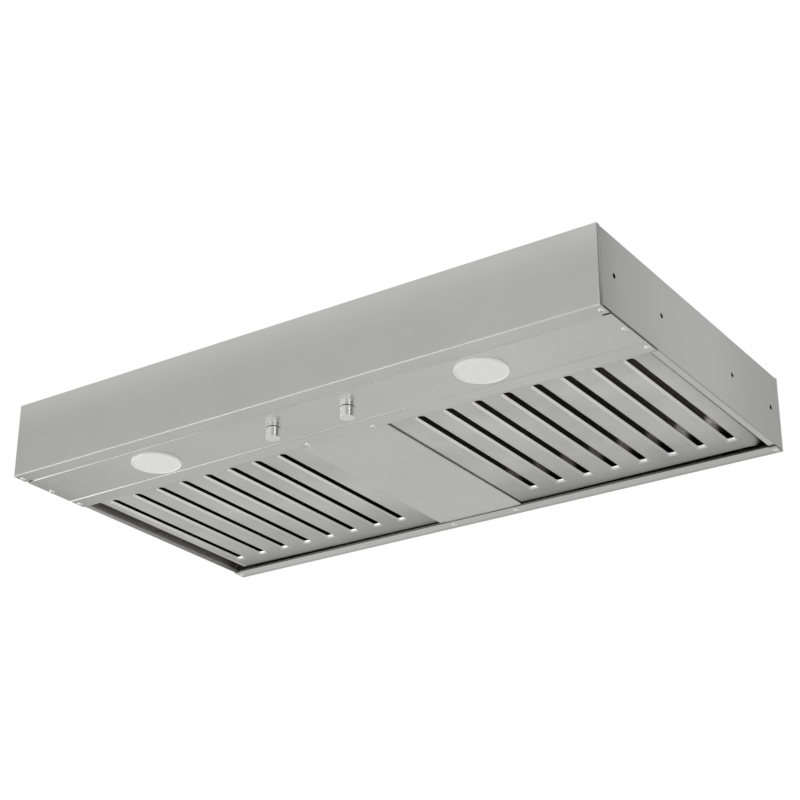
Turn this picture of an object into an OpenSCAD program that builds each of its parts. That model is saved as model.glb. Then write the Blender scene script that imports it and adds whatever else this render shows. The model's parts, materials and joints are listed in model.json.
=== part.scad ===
// Range hood insert: a shallow stainless body with slotted baffle filters, lamps and
// two knobs in its underside, and a blower in a raised box on its top.
// Millimetres, +Z up, the front faces -Y, the origin is the centre of the underside.

/* [Body] */
// Width of the body, side to side
body_w = 873; // [800:1:1100]
// Depth of the body, front to rear
body_d = 483; // [470:1:540]
// Height of the body's walls
body_h = 101.6; // [98:0.1:130]
// Thickness of the body's sheet
sheet = 1.2; // [0.9:0.1:1.4]
// Inside radius of a bend in the sheet
bend_r = 0.6; // [0.4:0.1:1]
// How far the front and rear panels wrap round the body's corners
corner_wrap = 6.4; // [5:0.1:8]
// Width of the flanges along the top of the walls
top_flange = 15; // [12:1:18]
// Width of the flanges along the bottom of the side walls
side_flange = 9; // [8:0.5:10]
// Depth of the front panel's bottom lip
front_lip = 24.4; // [20:0.1:28]
// Depth of the rear panel's bottom lip
rear_lip = 25; // [22:0.1:28]
// Radius of the four screw holes in each side
side_hole_r = 3.25; // [2.5:0.05:4]
// From the body's front to the first side hole
side_hole_front = 36; // [30:1:45]
// From the first side hole to the second, and from the third to the fourth
side_hole_outer = 114; // [100:1:120]
// Distance of the rearmost side hole from the rear face
side_hole_rear = 30; // [25:1:40]

/* [Underside] */
// Depth of the control panel
control_d = 81.8; // [78:0.1:90]
// Depth of the rail that the filters start behind
rail_d = 27; // [26:0.1:32]
// Width of the blank panel between the filters
centre_w = 131.8; // [110:0.1:150]
// Gap between two plates of the underside
seam = 0.3; // [0.2:0.1:0.5]

/* [Filters] */
// Height of the filters' faces above the underside
filter_recess = 3.4; // [3:0.1:4]
// Thickness of a filter
filter_h = 20; // [19:0.5:21]
// Thickness of the filters' sheet
filter_sheet = 0.8; // [0.6:0.1:1]
// Radius of the rolled edge on a filter's outer side
filter_side_roll = 19; // [14:0.5:19]
// Depth of the rolled edge at a filter's rear
filter_rear_roll = 27; // [20:0.5:31]
// Height of the rolled edge at a filter's rear
filter_rear_rise = 11; // [8:0.5:13]
// Distance between the slots
slot_pitch = 41; // [38:0.1:46]
// Clear width of a slot
slot_w = 8; // [6:0.5:9.5]
// Radius of the rolled rim of a slot
slot_roll = 9; // [7:0.5:10]

/* [Lamps and knobs] */
// Distance between the centres of the lamps
lamp_span = 492.6; // [460:0.1:560]
// Diameter of a lamp's ring
lamp_d = 64.5; // [60:0.1:70]
// How far a lamp's ring stands below the panel
lamp_drop = 3.5; // [3:0.1:5]
// Distance between the centres of the knobs
knob_span = 112.8; // [90:0.1:150]
// Diameter of a knob
knob_d = 18.5; // [17:0.1:24]
// Length of a knob
knob_h = 13; // [11:0.1:18]
// Diameter of a switch's shaft
switch_shaft_d = 6; // [5:0.1:6.4]

/* [Blower] */
// Width inside the blower box
box_w = 380; // [350:1:420]
// Depth inside the blower box
box_d = 269; // [260:1:280]
// Height inside the blower box
box_h = 110; // [106:0.5:120]
// From the body's rear face to the inside of the box's rear wall
box_rear = 17.5; // [16:0.5:20]
// Outer radius of the blower wheel
wheel_r = 72; // [64:0.5:74]
// Inner radius of the wheel's blades
eye_r = 58; // [54:0.5:60]
// Width of the wheel
wheel_w = 100; // [80:1:104]
// Number of blades
blade_count = 36; // [24:1:42]
// Radius of the scroll at its tongue
tongue_r = 80; // [78:0.5:82]
// How much the scroll's radius grows in a full turn
scroll_growth = 32; // [20:1:32]
// Width inside the scroll
scroll_w = 110; // [108:1:116]
// Radius of the motor's shell
motor_r = 42; // [36:0.5:44]
// Length of the motor
motor_l = 62; // [50:1:70]
// Diameter of the motor's shaft
shaft_d = 8; // [6:0.5:10]

/* [Duct] */
// Outer diameter of the duct collar
duct_d = 150; // [148:0.5:156]
// Height of the duct collar
duct_h = 45; // [38:1:60]
// Diameter of the dampers' hinge pin
damper_pin_d = 4; // [3:0.1:4.4]

/* [Hidden] */
$fn = 48;

// Clearances: a seat between two pieces, a running gap, and the overrun of every cut
seat = 0.3;
running = 0.06;
cut = 1;
bend_steps = 3;
roll_steps = 6;

steel = [0.74, 0.74, 0.73];
steel_dark = [0.6, 0.6, 0.6];
chrome = [0.86, 0.86, 0.87];
white = [0.93, 0.93, 0.92];
zinc = [0.68, 0.7, 0.7];
black = [0.12, 0.12, 0.13];

// The body's faces
side_x = body_w / 2;
front_y = -body_d / 2;
rear_y = body_d / 2;
wall_x = side_x - sheet;

// The underside, from the front to the rear
seam_flange = 12;
rail_flange = 8.5;
rear_hem = 2.4;
plate_inset = 0.5;
plate_x = side_x - plate_inset;
flange_end_x = side_x - side_flange - sheet;
relief_w = 10.5;
relief_d = 2.5;
control_y0 = front_y + front_lip + seam;
control_y1 = control_y0 + control_d;
rail_y0 = control_y1 + seam;
rail_y1 = rail_y0 + rail_d;
rear_lip_y = rear_y - rear_lip;
tab_clear = 1;
control_mid_y = (control_y0 + control_y1) / 2;

// Screws: pan heads under the plates
screw_r = 1.5;
screw_head_r = 4;
screw_head_h = 1.6;
screw_l = 7;
screw_play = 0.2;
screw_edge = 5.5;
screw_x = side_x - screw_edge;
rail_screw_back = 14;
side_screws = [
    [screw_x, front_y + front_lip / 2],
    [screw_x, control_mid_y],
    [screw_x, rail_y1 - rail_screw_back],
    [screw_x, rear_y - rear_lip / 2 + sheet]
];

// The blank panel between the filters: it lies on the rail and the rear lip
centre_flange = 16;
centre_tab = 10;
centre_screw_in = 4.8;
centre_rear_tab = 16;
centre_rear_in = 11;
centre_screw_x = centre_w / 2 - centre_tab - screw_edge;
centre_screws = [
    [centre_screw_x, rail_y1 - centre_screw_in],
    [centre_screw_x, rear_lip_y + centre_rear_in]
];
notch_x = centre_w / 2 + screw_edge;

// The wall between the controls and the filters
wall_foot = 12;
wall_y = rail_y1 - centre_tab - 2 * seat;

// The filters: a slotted face, baffles above its slots, a frame and two rear hooks
filter_gap = 1.2;
filter_inner_gap = 0.8;
filter_outer_gap = 2.5;
filter_rear_gap = 1.4;
filter_tight_roll = 2;
filter_front_roll = 4;
filter_z0 = filter_recess;
filter_z1 = filter_recess + filter_h;
filter_y0 = rail_y1 + filter_gap;
filter_y1 = rear_lip_y - filter_rear_gap;
filter_x0 = centre_w / 2 + filter_inner_gap;
filter_x1 = side_x - side_flange - filter_outer_gap;
filter_w = filter_x1 - filter_x0;
filter_mid_x = (filter_x0 + filter_x1) / 2;
slot_inner_in = 40;
slot_outer_in = 30;
slot_front_in = 4.9;
slot_rear_in = 35;
slot_sweep = 52;
slot_corner = 1.6;
slot_join = 0.8;
slot_run = slot_roll * sin(slot_sweep);
slot_mid_x = slot_w / 2 - slot_corner;
slot_count = floor((filter_w - slot_inner_in - slot_outer_in) / slot_pitch) + 1;
slot_y0 = filter_y0 + slot_front_in + slot_run + slot_corner;
slot_y1 = filter_y1 - slot_rear_in - slot_run - slot_corner;
baffle_w = 27;
baffle_drop = 10;
frame_in = 7;
frame_flange = 13;
frame_drop = 12;

// The filters' rear hooks, which reach over the turned-up edge of the rear lip
hook_w = 20;
hook_t = 1;
hook_reach = 4.2;
hook_gap = 0.4;
hook_foot = 0.4;
hook_top = 1;
hook_span_share = 0.6;
hook_z = filter_z0 + filter_rear_rise + hook_gap;

// Catches that hold the filters' front edges
catch_t = 0.5;
catch_gap = 1;
catch_w = 16;
catch_leg = 12;
catch_rise = 8;
catch_nose = 6;
catch_back = 3;
catch_span_share = 0.55;

// Corner brackets
bracket_leg = 20;
bracket_foot = 8;

// Lamps
lamp_hole_r = lamp_d / 2 - 3.6;
lamp_tube_r = lamp_hole_r - 0.4;
lamp_tube_h = 12;
lamp_wall = 1.2;
lamp_round = 1;
lens_r = lamp_d / 2 - 2.4;
lens_t = 2;
lens_in = 0.3;
lens_crown = 0.5;
lamp_body_r = lamp_tube_r - lamp_wall - seat;
lamp_body_h = 24;
fin_count = 16;
fin_gap = 3;
fin_depth = 5;
fin_floor = 5;
clip_w = 12;
clip_t = 0.8;
clip_rise = 9;
clip_reach = 8;
clip_drop = 1;

// Switches
switch_w = 28;
switch_h = 18;
bushing_r = 3.8;
bushing_h = 3;
bushing_play = 0.3;
nut_r = 6.2;
nut_h = 1.8;
nut_sides = 6;
knob_gap = 0.5;
knob_cup_r = nut_r + 0.8;
knob_cup_h = bushing_h + 1;
knob_chamfer = 0.6;
knob_tip = 2;
shaft_up = 9;
lug_w = 6;
lug_t = 0.8;
lug_h = 9;

// Driver and capacitor, under the top panel
driver_size = [130, 42, 26];
driver_x = -160;
driver_back = 60;
ear_w = 12;
ear_t = 2;
ear_hole_r = 2.2;
cap_size = [52, 34];
cap_h = 30;
cap_x = 150;

// The blower box and the scroll inside it
box_flange = 12;
top_z = body_h + sheet;
box_z1 = top_z + box_h;
box_y1 = rear_y - box_rear;
box_y0 = box_y1 - box_d;
box_x = box_w / 2;
opening_in = 20;
top_inset = 3;
scroll_sheet = 1;
axis_rise = 18;
axis_z = top_z + axis_rise;
scroll_start = 90;
scroll_end = 360;
scroll_steps = 30;
scroll_rear_gap = 35;
scroll_end_r = tongue_r + scroll_growth * (scroll_end - scroll_start) / 360;
axis_y = box_y1 - scroll_rear_gap - scroll_end_r;
throat_in = 8;
throat_y0 = axis_y + throat_in;
throat_y1 = axis_y + scroll_end_r;
duct_y = (throat_y0 + throat_y1) / 2;
scroll_x = scroll_w / 2;
inlet_r = eye_r + 2;
inlet_flare = 6;
inlet_depth = 3;
inlet_round = 1.8;
scroll_flange = 12;
wheel_ring = 6;
wheel_ring_t = 3;
disc_t = 1.5;
blade_t = 1;
hub_r = 14;
hub_l = 24;
hub_flange_r = 24;
hub_flange_t = 2;
motor_gap = 8;
motor_x1 = -scroll_x - motor_gap;
motor_x0 = motor_x1 - motor_l;
motor_bell = 12;
motor_step = 6;
nose_r = 11;
nose_l = 5;
vent_count = 8;
vent_w = 6;
vent_l = 8;
shaft_in = 30;
shaft_out = 3;
band_t = 1.6;
band_w = 12;
arm_w = 14;
arm_foot = 8;
arm_r = tongue_r - 3;
arm_angles = [30, 150, 270];

// The duct collar and its dampers
duct_wall = 1;
duct_flange = 8;
collar_z = box_z1 + sheet;
damper_z = collar_z + 14;
damper_gap = 1.5;
damper_t = 0.8;
damper_r = duct_d / 2 - duct_wall - damper_gap;
knuckle_t = 1.2;
knuckle_r = damper_pin_d / 2 + running + knuckle_t;
damper_x_shares = [0.12, 0.46, 0.54, 0.88];
pin_head_r = 3.2;
pin_head_h = 1.2;
pin_head_in = 0.2;
stop_w = 10;
stop_t = 1.5;

// The junction box on the top panel
junction_size = [104, 74, 44];
junction_side_in = 136.5;
junction_rear_in = 101.5;
junction_at = [junction_side_in - side_x, rear_y - junction_rear_in];
junction_wall = 1.2;
junction_lid_skirt = 10;
knockout_r = 11;
knockout_z = 20;
bushing_bore_r = 7;
bushing_flange_r = 14;
bushing_flange_t = 3;
bushing_body_l = 16;
grommet_r = 9;
grommet_flange = 3;
grommet_y = 12;
grommet_t = 2;
block_size = [62, 24, 16];
block_poles = 4;
block_wall = 2;
block_step = 6;
block_screw_r = 2.6;

// Screws of the top panel and of the blower box
top_screw_x_shares = [-0.9, -0.6, 0.6, 0.9];
box_screw_x_shares = [-0.8, 0, 0.8];
box_screw_y_shares = [0.2, 0.8];

function unit(v) = v / norm(v);
function left_of(v) = [-v[1], v[0]];
function reversed(p) = [for (i = [len(p) - 1:-1:0]) p[i]];
function arc(c, r, from, sweep, steps) =
    [for (i = [0:steps]) c + r * [cos(from + sweep * i / steps), sin(from + sweep * i / steps)]];

// One face of a bent sheet. The path runs along the near face, k is 0 for it and 1 for
// the far face, which lies to the left of the path, and each corner is an arc.
function bent_face(p, k, t, r) = [for (i = [0:len(p) - 1]) each
    i == 0 ? [p[0] + k * t * left_of(unit(p[1] - p[0]))]
    : i == len(p) - 1 ? [p[i] + k * t * left_of(unit(p[i] - p[i - 1]))]
    : let (a = unit(p[i] - p[i - 1]), b = unit(p[i + 1] - p[i]),
           s = sign(a[0] * b[1] - a[1] * b[0]),
           na = s * left_of(a), nb = s * left_of(b),
           near_r = s > 0 ? r + t : r,
           c = p[i] + (na + nb) * near_r / (1 + na * nb))
      arc(c, near_r - s * k * t, atan2(-na[1], -na[0]), s * acos(a * b), bend_steps)];
function bent(p, t, r) = concat(bent_face(p, 0, t, r), reversed(bent_face(p, 1, t, r)));

module box(lo, hi) translate(lo) cube(hi - lo);
module along_x(from, to) translate([from, 0, 0]) rotate([90, 0, 90]) linear_extrude(to - from) children();
module along_y(from, to) translate([0, to, 0]) rotate([90, 0, 0]) linear_extrude(to - from) children();
module along_z(from, to) translate([0, 0, from]) linear_extrude(to - from) children();
module both_sides() {
    children();
    mirror([1, 0, 0]) children();
}
// Sheet folded to a path, as long as the range given
module fold_x(path, from, to, t = sheet, r = bend_r) along_x(from, to) polygon(bent(path, t, r));
module fold_y(path, from, to, t = sheet, r = bend_r) along_y(from, to) polygon(bent(path, t, r));
module fold_z(path, from, to, t = sheet, r = bend_r) along_z(from, to) polygon(bent(path, t, r));
// Turned about a line along X through a point
module turned_x(at) translate(at) rotate([0, 90, 0]) children();

module screw_holes(at, from, to) for (p = at) translate([p[0], p[1], from])
    cylinder(r = screw_r + screw_play, h = to - from);

// The body's walls
module body_plan() {
    r = bend_r + sheet;
    polygon(concat(
        arc([side_x - r, front_y + r], r, -90, 90, bend_steps),
        arc([side_x - r, rear_y - r], r, 0, 90, bend_steps),
        arc([r - side_x, rear_y - r], r, 90, 90, bend_steps),
        arc([r - side_x, front_y + r], r, 180, 90, bend_steps)));
}

// A panel across the body with a lip below, a flange above and ends wrapped round the
// corners. It is drawn at the front, and its lip ends in an upturned edge.
module cross_panel(lip, edge_up) intersection() {
    along_z(0, body_h) body_plan();
    difference() {
        union() {
            fold_x([[front_y + top_flange, body_h], [front_y, body_h], [front_y, 0],
                [front_y + lip, 0], [front_y + lip, edge_up]], -side_x, side_x);
            fold_z([[-side_x, front_y + corner_wrap], [-side_x, front_y],
                [side_x, front_y], [side_x, front_y + corner_wrap]], sheet, body_h);
        }
        both_sides() {
            box([side_x - relief_w, front_y + lip - relief_d, -cut],
                [side_x + cut, front_y + lip + cut, edge_up + cut]);
            box([wall_x - seat, front_y + corner_wrap, body_h - sheet - cut],
                [side_x + cut, front_y + top_flange + cut, body_h + cut]);
        }
    }
}

module front_panel() color(steel) difference() {
    cross_panel(front_lip, seam_flange);
    both_sides() screw_holes([side_screws[0]], -cut, sheet + cut);
    top_screw_holes(-1);
}

module rear_panel() color(steel) difference() {
    mirror([0, 1, 0]) cross_panel(rear_lip, rear_hem);
    both_sides() screw_holes([side_screws[3], centre_screws[1]], -cut, sheet + cut);
    box([centre_tab - tab_clear - centre_w / 2, rear_lip_y - cut, sheet],
        [centre_w / 2 - centre_tab + tab_clear, rear_lip_y + sheet + bend_r, rear_hem + cut]);
    top_screw_holes(1);
    box_screw_holes();
}

module side_panel() color(steel) difference() {
    y0 = front_y + corner_wrap + seam;
    y1 = -y0;
    fold_y([[side_x - side_flange, sheet], [side_x, sheet], [side_x, body_h],
        [side_x - top_flange, body_h]], y0, y1);
    for (s = [-1, 1]) scale([1, s, 1]) box(
        [side_x - top_flange - cut, front_y, body_h - sheet - bend_r],
        [wall_x, front_y + top_flange + 2 * sheet, body_h + cut]);
    for (y = side_holes()) translate([wall_x - cut, y, body_h / 2]) rotate([0, 90, 0])
        cylinder(r = side_hole_r, h = sheet + 2 * cut);
    screw_holes(side_screws, -cut, 2 * sheet + cut);
}
function side_holes() = let (a = front_y + side_hole_front, b = a + side_hole_outer,
    d = rear_y - side_hole_rear) [a, b, d - side_hole_outer, d];
module right_side_panel() side_panel();
module left_side_panel() mirror([1, 0, 0]) side_panel();

module top_panel() color(steel) difference() {
    box([top_inset - side_x, front_y + top_inset, body_h],
        [side_x - top_inset, rear_y - top_inset, top_z]);
    box([opening_in - box_x, box_y0 + opening_in, body_h - cut],
        [box_x - opening_in, box_y1 - opening_in, top_z + cut]);
    for (s = [-1, 1]) top_screw_holes(s);
    box_screw_holes();
    translate([junction_at[0], junction_at[1] - grommet_y, body_h - cut])
        cylinder(r = grommet_r, h = sheet + 2 * cut);
}

// The plates of the underside. Each has upturned edges, cut back at its ends.
module underside_plate(y0, y1, up0, up1) difference() {
    fold_x([[y0, up0], [y0, 0], [y1, 0], [y1, up1]], -plate_x, plate_x);
    both_sides() box([flange_end_x, y0 - cut, sheet], [side_x, y1 + cut, max(up0, up1) + cut]);
}

module control_panel() color(steel) difference() {
    underside_plate(control_y0, control_y1, seam_flange, seam_flange);
    both_sides() {
        screw_holes([side_screws[1]], -cut, sheet + cut);
        translate([lamp_span / 2, control_mid_y, -cut]) cylinder(r = lamp_hole_r, h = sheet + 2 * cut);
        translate([knob_span / 2, control_mid_y, -cut])
            cylinder(r = bushing_r + bushing_play, h = sheet + 2 * cut);
    }
}

module filter_rail() color(steel) difference() {
    underside_plate(rail_y0, rail_y1, seam_flange, rail_flange);
    box([-notch_x, rail_y1 - sheet - bend_r, sheet], [notch_x, rail_y1 + cut, rail_flange + cut]);
    both_sides() screw_holes([side_screws[2], centre_screws[0]], -cut, sheet + cut);
}

module centre_panel() color(steel) difference() {
    x = centre_w / 2;
    union() {
        fold_y([[-x, centre_flange], [-x, sheet], [x, sheet], [x, centre_flange]],
            rail_y1 + filter_gap, filter_y1);
        box([-x + centre_tab, rail_y1 - centre_tab, sheet],
            [x - centre_tab, rear_lip_y + centre_rear_tab, 2 * sheet]);
    }
    both_sides() screw_holes(centre_screws, sheet - cut, 2 * sheet + cut);
}

module compartment_wall() color(zinc) difference() {
    end_x = wall_x - 2 * seat;
    fold_x([[wall_y - wall_foot, sheet], [wall_y, sheet], [wall_y, body_h],
        [wall_y - wall_foot, body_h]], -end_x, end_x);
    both_sides() {
        box([flange_end_x, wall_y - wall_foot - cut, sheet - cut],
            [side_x, wall_y + cut, 2 * sheet + 2 * seat]);
        box([side_x - top_flange - sheet, wall_y - wall_foot - cut, body_h - sheet - 2 * seat],
            [side_x, wall_y + cut, body_h + cut]);
    }
}

module corner_brackets() color(zinc) for (s = [-1, 1]) scale([1, s, 1]) both_sides()
    fold_z([[wall_x - bracket_leg, front_y + sheet], [wall_x, front_y + sheet],
        [wall_x, front_y + sheet + bracket_leg]], bracket_foot, body_h - bracket_leg / 2);

module filter_catches() color(chrome) both_sides() for (s = [-1, 1])
    translate([filter_mid_x + s * catch_span_share * filter_w / 2, 0, 0])
        fold_x([[wall_y, filter_z1 + catch_rise + catch_leg], [wall_y, filter_z1 + catch_rise],
            [filter_y0 - catch_gap - catch_t, filter_z1 - catch_nose],
            [filter_y0 - catch_gap - catch_t - catch_back, filter_z1 - 2 * catch_nose]],
            -catch_w / 2, catch_w / 2, catch_t, bend_r);

// A filter's outline from one side: a tray section with a rolled bottom corner at its near
// end and an oval one, w deep and h high, at its far end
function tray(from, to, z0, z1, r, w, h) = concat([[from, z1]], arc([from + r, z0 + r], r, 180, 90, roll_steps),
    [for (p = arc([0, 0], 1, 270, 90, roll_steps)) [to - w + w * p[0], z0 + h + h * p[1]]], [[to, z1]]);
module tray_block(inset, z1) intersection() {
    along_x(filter_x0 + inset, filter_x1 - inset) polygon(tray(filter_y0 + inset, filter_y1 - inset,
        filter_z0 + inset, z1, filter_front_roll - inset, filter_rear_roll - inset, filter_rear_rise - inset));
    along_y(filter_y0 + inset, filter_y1 - inset) polygon(tray(filter_x0 + inset, filter_x1 - inset,
        filter_z0 + inset, z1, filter_tight_roll - inset, filter_side_roll - inset, filter_side_roll - inset));
}
// A slot's outline with rounded corners, grown by the given run
module slot_outline(run) {
    a = slot_corner + run;
    translate([-slot_mid_x - a, slot_y0]) square([2 * slot_mid_x + 2 * a, slot_y1 - slot_y0]);
    translate([-slot_mid_x, slot_y0 - a]) square([2 * slot_mid_x, slot_y1 - slot_y0 + 2 * a]);
    for (x = [-slot_mid_x, slot_mid_x], y = [slot_y0, slot_y1]) translate([x, y]) circle(r = a);
}
// Section of a slot's rim, out from the centre of the slot's rounded corner. It curves up
// from a flat strip as wide as the join, which meets the face edge to edge.
function rim() = let (c = [slot_corner + slot_run, filter_z0 + slot_roll]) concat(
    [[c[0] + slot_join, filter_z0 + filter_sheet], [c[0] + slot_join, filter_z0]],
    arc(c, slot_roll, 270, -slot_sweep, roll_steps),
    arc(c, slot_roll - filter_sheet, 270 - slot_sweep, slot_sweep, roll_steps));
module slot_rim_ring() {
    for (s = [0, 1]) mirror([s, 0, 0]) along_y(slot_y0, slot_y1) translate([slot_mid_x, 0]) polygon(rim());
    along_x(-slot_mid_x, slot_mid_x) {
        translate([slot_y1, 0]) polygon(rim());
        translate([slot_y0, 0]) mirror([1, 0]) polygon(rim());
    }
    for (i = [0:3]) translate([(i == 0 || i == 3 ? 1 : -1) * slot_mid_x, i < 2 ? slot_y1 : slot_y0, 0])
        rotate([0, 0, 90 * i]) rotate_extrude(angle = 90) polygon(rim());
}
module at_slots() for (i = [0:slot_count - 1])
    translate([filter_x0 + slot_inner_in + i * slot_pitch, 0, 0]) children();

module filter_face() color(steel) {
    difference() {
        tray_block(0, filter_z1);
        tray_block(filter_sheet, filter_z1 + cut);
        at_slots() along_z(filter_z0 - cut, filter_z0 + slot_roll) slot_outline(slot_run + slot_join);
    }
    at_slots() slot_rim_ring();
}
// Inverted channels over the slots, which turn the air and drain the grease
module filter_baffles() color(steel_dark) {
    z = filter_z1 - filter_sheet;
    in = frame_in + filter_sheet + seat;
    at_slots() fold_y([[baffle_w / 2, z - baffle_drop], [baffle_w / 2, z], [-baffle_w / 2, z],
        [-baffle_w / 2, z - baffle_drop]], filter_y0 + in, filter_y1 - in, filter_sheet, bend_r);
}
module filter_frame() color(steel) difference() {
    a = filter_sheet + seat;
    b = frame_in + filter_sheet;
    z = filter_z1 - filter_sheet;
    union() {
        box([filter_x0 + a, filter_y0 + a, z], [filter_x1 - a, filter_y1 - a, filter_z1]);
        box([filter_x0 + frame_in, filter_y0 + frame_in, filter_z1 - frame_drop],
            [filter_x1 - frame_in, filter_y1 - frame_in, filter_z1]);
    }
    box([filter_x0 + b, filter_y0 + b, filter_z1 - frame_drop - cut], [filter_x1 - b, filter_y1 - b, z]);
    box([filter_x0 + frame_flange, filter_y0 + frame_flange, z - cut],
        [filter_x1 - frame_flange, filter_y1 - frame_flange, filter_z1 + cut]);
}
module filter_hooks() color(steel_dark) for (s = [-1, 1])
    translate([filter_mid_x + s * hook_span_share * filter_w / 2, 0, 0])
        fold_x([[filter_y1, filter_z1 - hook_top], [filter_y1, hook_z],
            [filter_y1 + hook_reach, hook_z], [filter_y1 + hook_reach, sheet + hook_foot]],
            -hook_w / 2, hook_w / 2, hook_t, bend_r);
module right_filter_face() filter_face();
module right_filter_baffles() filter_baffles();
module right_filter_frame() filter_frame();
module right_filter_hooks() filter_hooks();
module left_filter_face() mirror([1, 0, 0]) filter_face();
module left_filter_baffles() mirror([1, 0, 0]) filter_baffles();
module left_filter_frame() mirror([1, 0, 0]) filter_frame();
module left_filter_hooks() mirror([1, 0, 0]) filter_hooks();

// Lamps: a ring below the panel with a tube through it, a lens and a finned body
module at_lamp() translate([lamp_span / 2, control_mid_y, 0]) children();
module lamp_ring() color(white) at_lamp() rotate_extrude() polygon(concat(
    [[lens_r + seat, -lamp_drop]],
    arc([lamp_d / 2 - lamp_round, lamp_round - lamp_drop], lamp_round, 270, 90, bend_steps),
    [[lamp_d / 2, 0], [lamp_tube_r, 0], [lamp_tube_r, lamp_tube_h],
    [lamp_tube_r - lamp_wall, lamp_tube_h], [lamp_tube_r - lamp_wall, -lamp_drop + lens_t + 2 * lens_in],
    [lens_r + seat, -lamp_drop + lens_t + 2 * lens_in]]));
module lamp_lens() color(white) at_lamp() translate([0, 0, lens_in + lens_t - lamp_drop])
    rotate_extrude() polygon([[0, 0], [0, -lens_t - lens_crown / 2], [lens_r / 2, -lens_t - lens_crown / 4],
        [lens_r, -lens_t + lens_crown], [lens_r, 0]]);
module lamp_body() color(zinc) at_lamp() {
    z0 = lens_t + 2 * lens_in - lamp_drop + seat;
    translate([0, 0, z0]) cylinder(r = lamp_body_r, h = fin_floor);
    translate([0, 0, z0 + fin_floor]) difference() {
        cylinder(r = lamp_body_r, h = lamp_body_h - fin_floor);
        for (i = [0:fin_count - 1]) rotate([0, 0, i * 360 / fin_count])
            box([lamp_body_r - fin_depth, -fin_gap / 2, 0], [lamp_body_r + cut, fin_gap / 2, lamp_body_h]);
    }
}
// Spring clips that draw a lamp's ring up against the panel
module lamp_clips() color(chrome) both_sides() at_lamp() for (s = [0, 1]) mirror([s, 0, 0])
    fold_y([[lamp_tube_r + seat, clip_rise + sheet], [lamp_tube_r + seat + clip_t, clip_rise + sheet],
        [lamp_tube_r + seat + clip_reach, sheet + seat], [lamp_tube_r + 2 * clip_reach, sheet + seat + clip_drop]],
        -clip_w / 2, clip_w / 2, clip_t, bend_r / 2);
module right_lamp_ring() lamp_ring();
module right_lamp_lens() lamp_lens();
module right_lamp_body() lamp_body();
module left_lamp_ring() mirror([1, 0, 0]) lamp_ring();
module left_lamp_lens() mirror([1, 0, 0]) lamp_lens();
module left_lamp_body() mirror([1, 0, 0]) lamp_body();

// Rotary switches: the bushing passes the panel, and the knob covers its nut
module at_switch(s) translate([s * knob_span / 2, control_mid_y, 0]) children();
module rotary_switch() color(black) difference() {
    union() {
        translate([-switch_w / 2, -switch_w / 2, sheet]) cube([switch_w, switch_w, switch_h]);
        translate([0, 0, -bushing_h]) cylinder(r = bushing_r, h = bushing_h + 2 * sheet);
        for (i = [-1:1]) translate([i * lug_w * 1.4 - lug_w / 2, 0, sheet + switch_h])
            cube([lug_w, lug_t, lug_h]);
    }
    translate([0, 0, -bushing_h - cut])
        cylinder(r = switch_shaft_d / 2 + running, h = bushing_h + shaft_up + 2 * cut);
}
module switch_shaft() color(chrome)
    translate([0, 0, knob_tip - knob_h - knob_gap]) cylinder(r = switch_shaft_d / 2, h = knob_h + knob_gap - knob_tip + shaft_up);
module knob() color(chrome) rotate_extrude() polygon([
    [0, -knob_h - knob_gap], [knob_d / 2 - knob_chamfer, -knob_h - knob_gap],
    [knob_d / 2, knob_chamfer - knob_h - knob_gap], [knob_d / 2, -knob_gap],
    [knob_cup_r, -knob_gap], [knob_cup_r, -knob_gap - knob_cup_h],
    [switch_shaft_d / 2, -knob_gap - knob_cup_h], [switch_shaft_d / 2, knob_tip - knob_h - knob_gap],
    [0, knob_tip - knob_h - knob_gap]]);
module switch_nuts() color(zinc) for (s = [-1, 1]) at_switch(s) translate([0, 0, -nut_h]) difference() {
    cylinder(r = nut_r, h = nut_h, $fn = nut_sides);
    translate([0, 0, -cut]) cylinder(r = bushing_r + running, h = nut_h + 2 * cut);
}
module light_switch() at_switch(-1) rotary_switch();
module light_shaft() at_switch(-1) switch_shaft();
module light_knob() at_switch(-1) knob();
module fan_switch() at_switch(1) rotary_switch();
module fan_shaft() at_switch(1) switch_shaft();
module fan_knob() at_switch(1) knob();

// The lamps' driver and the motor's capacitor hang under the top panel
module lamp_driver() color(white) difference() {
    w = driver_size[0] / 2;
    d = driver_size[1] / 2;
    y = front_y + driver_back;
    union() {
        box([driver_x - w, y - d, body_h - driver_size[2]], [driver_x + w, y + d, body_h]);
        box([driver_x - w - ear_w, y - d / 2, body_h - ear_t], [driver_x + w + ear_w, y + d / 2, body_h]);
    }
    for (s = [-1, 1]) translate([driver_x + s * (w + ear_w / 2), y, body_h - ear_t - cut])
        cylinder(r = ear_hole_r, h = ear_t + 2 * cut);
}
module motor_capacitor() color(zinc) translate([cap_x, front_y + driver_back, body_h - cap_h])
    linear_extrude(cap_h) {
        square([cap_size[0] - cap_size[1], cap_size[1]], center = true);
        for (s = [-1, 1]) translate([s * (cap_size[0] - cap_size[1]) / 2, 0]) circle(r = cap_size[1] / 2);
    }

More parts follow.
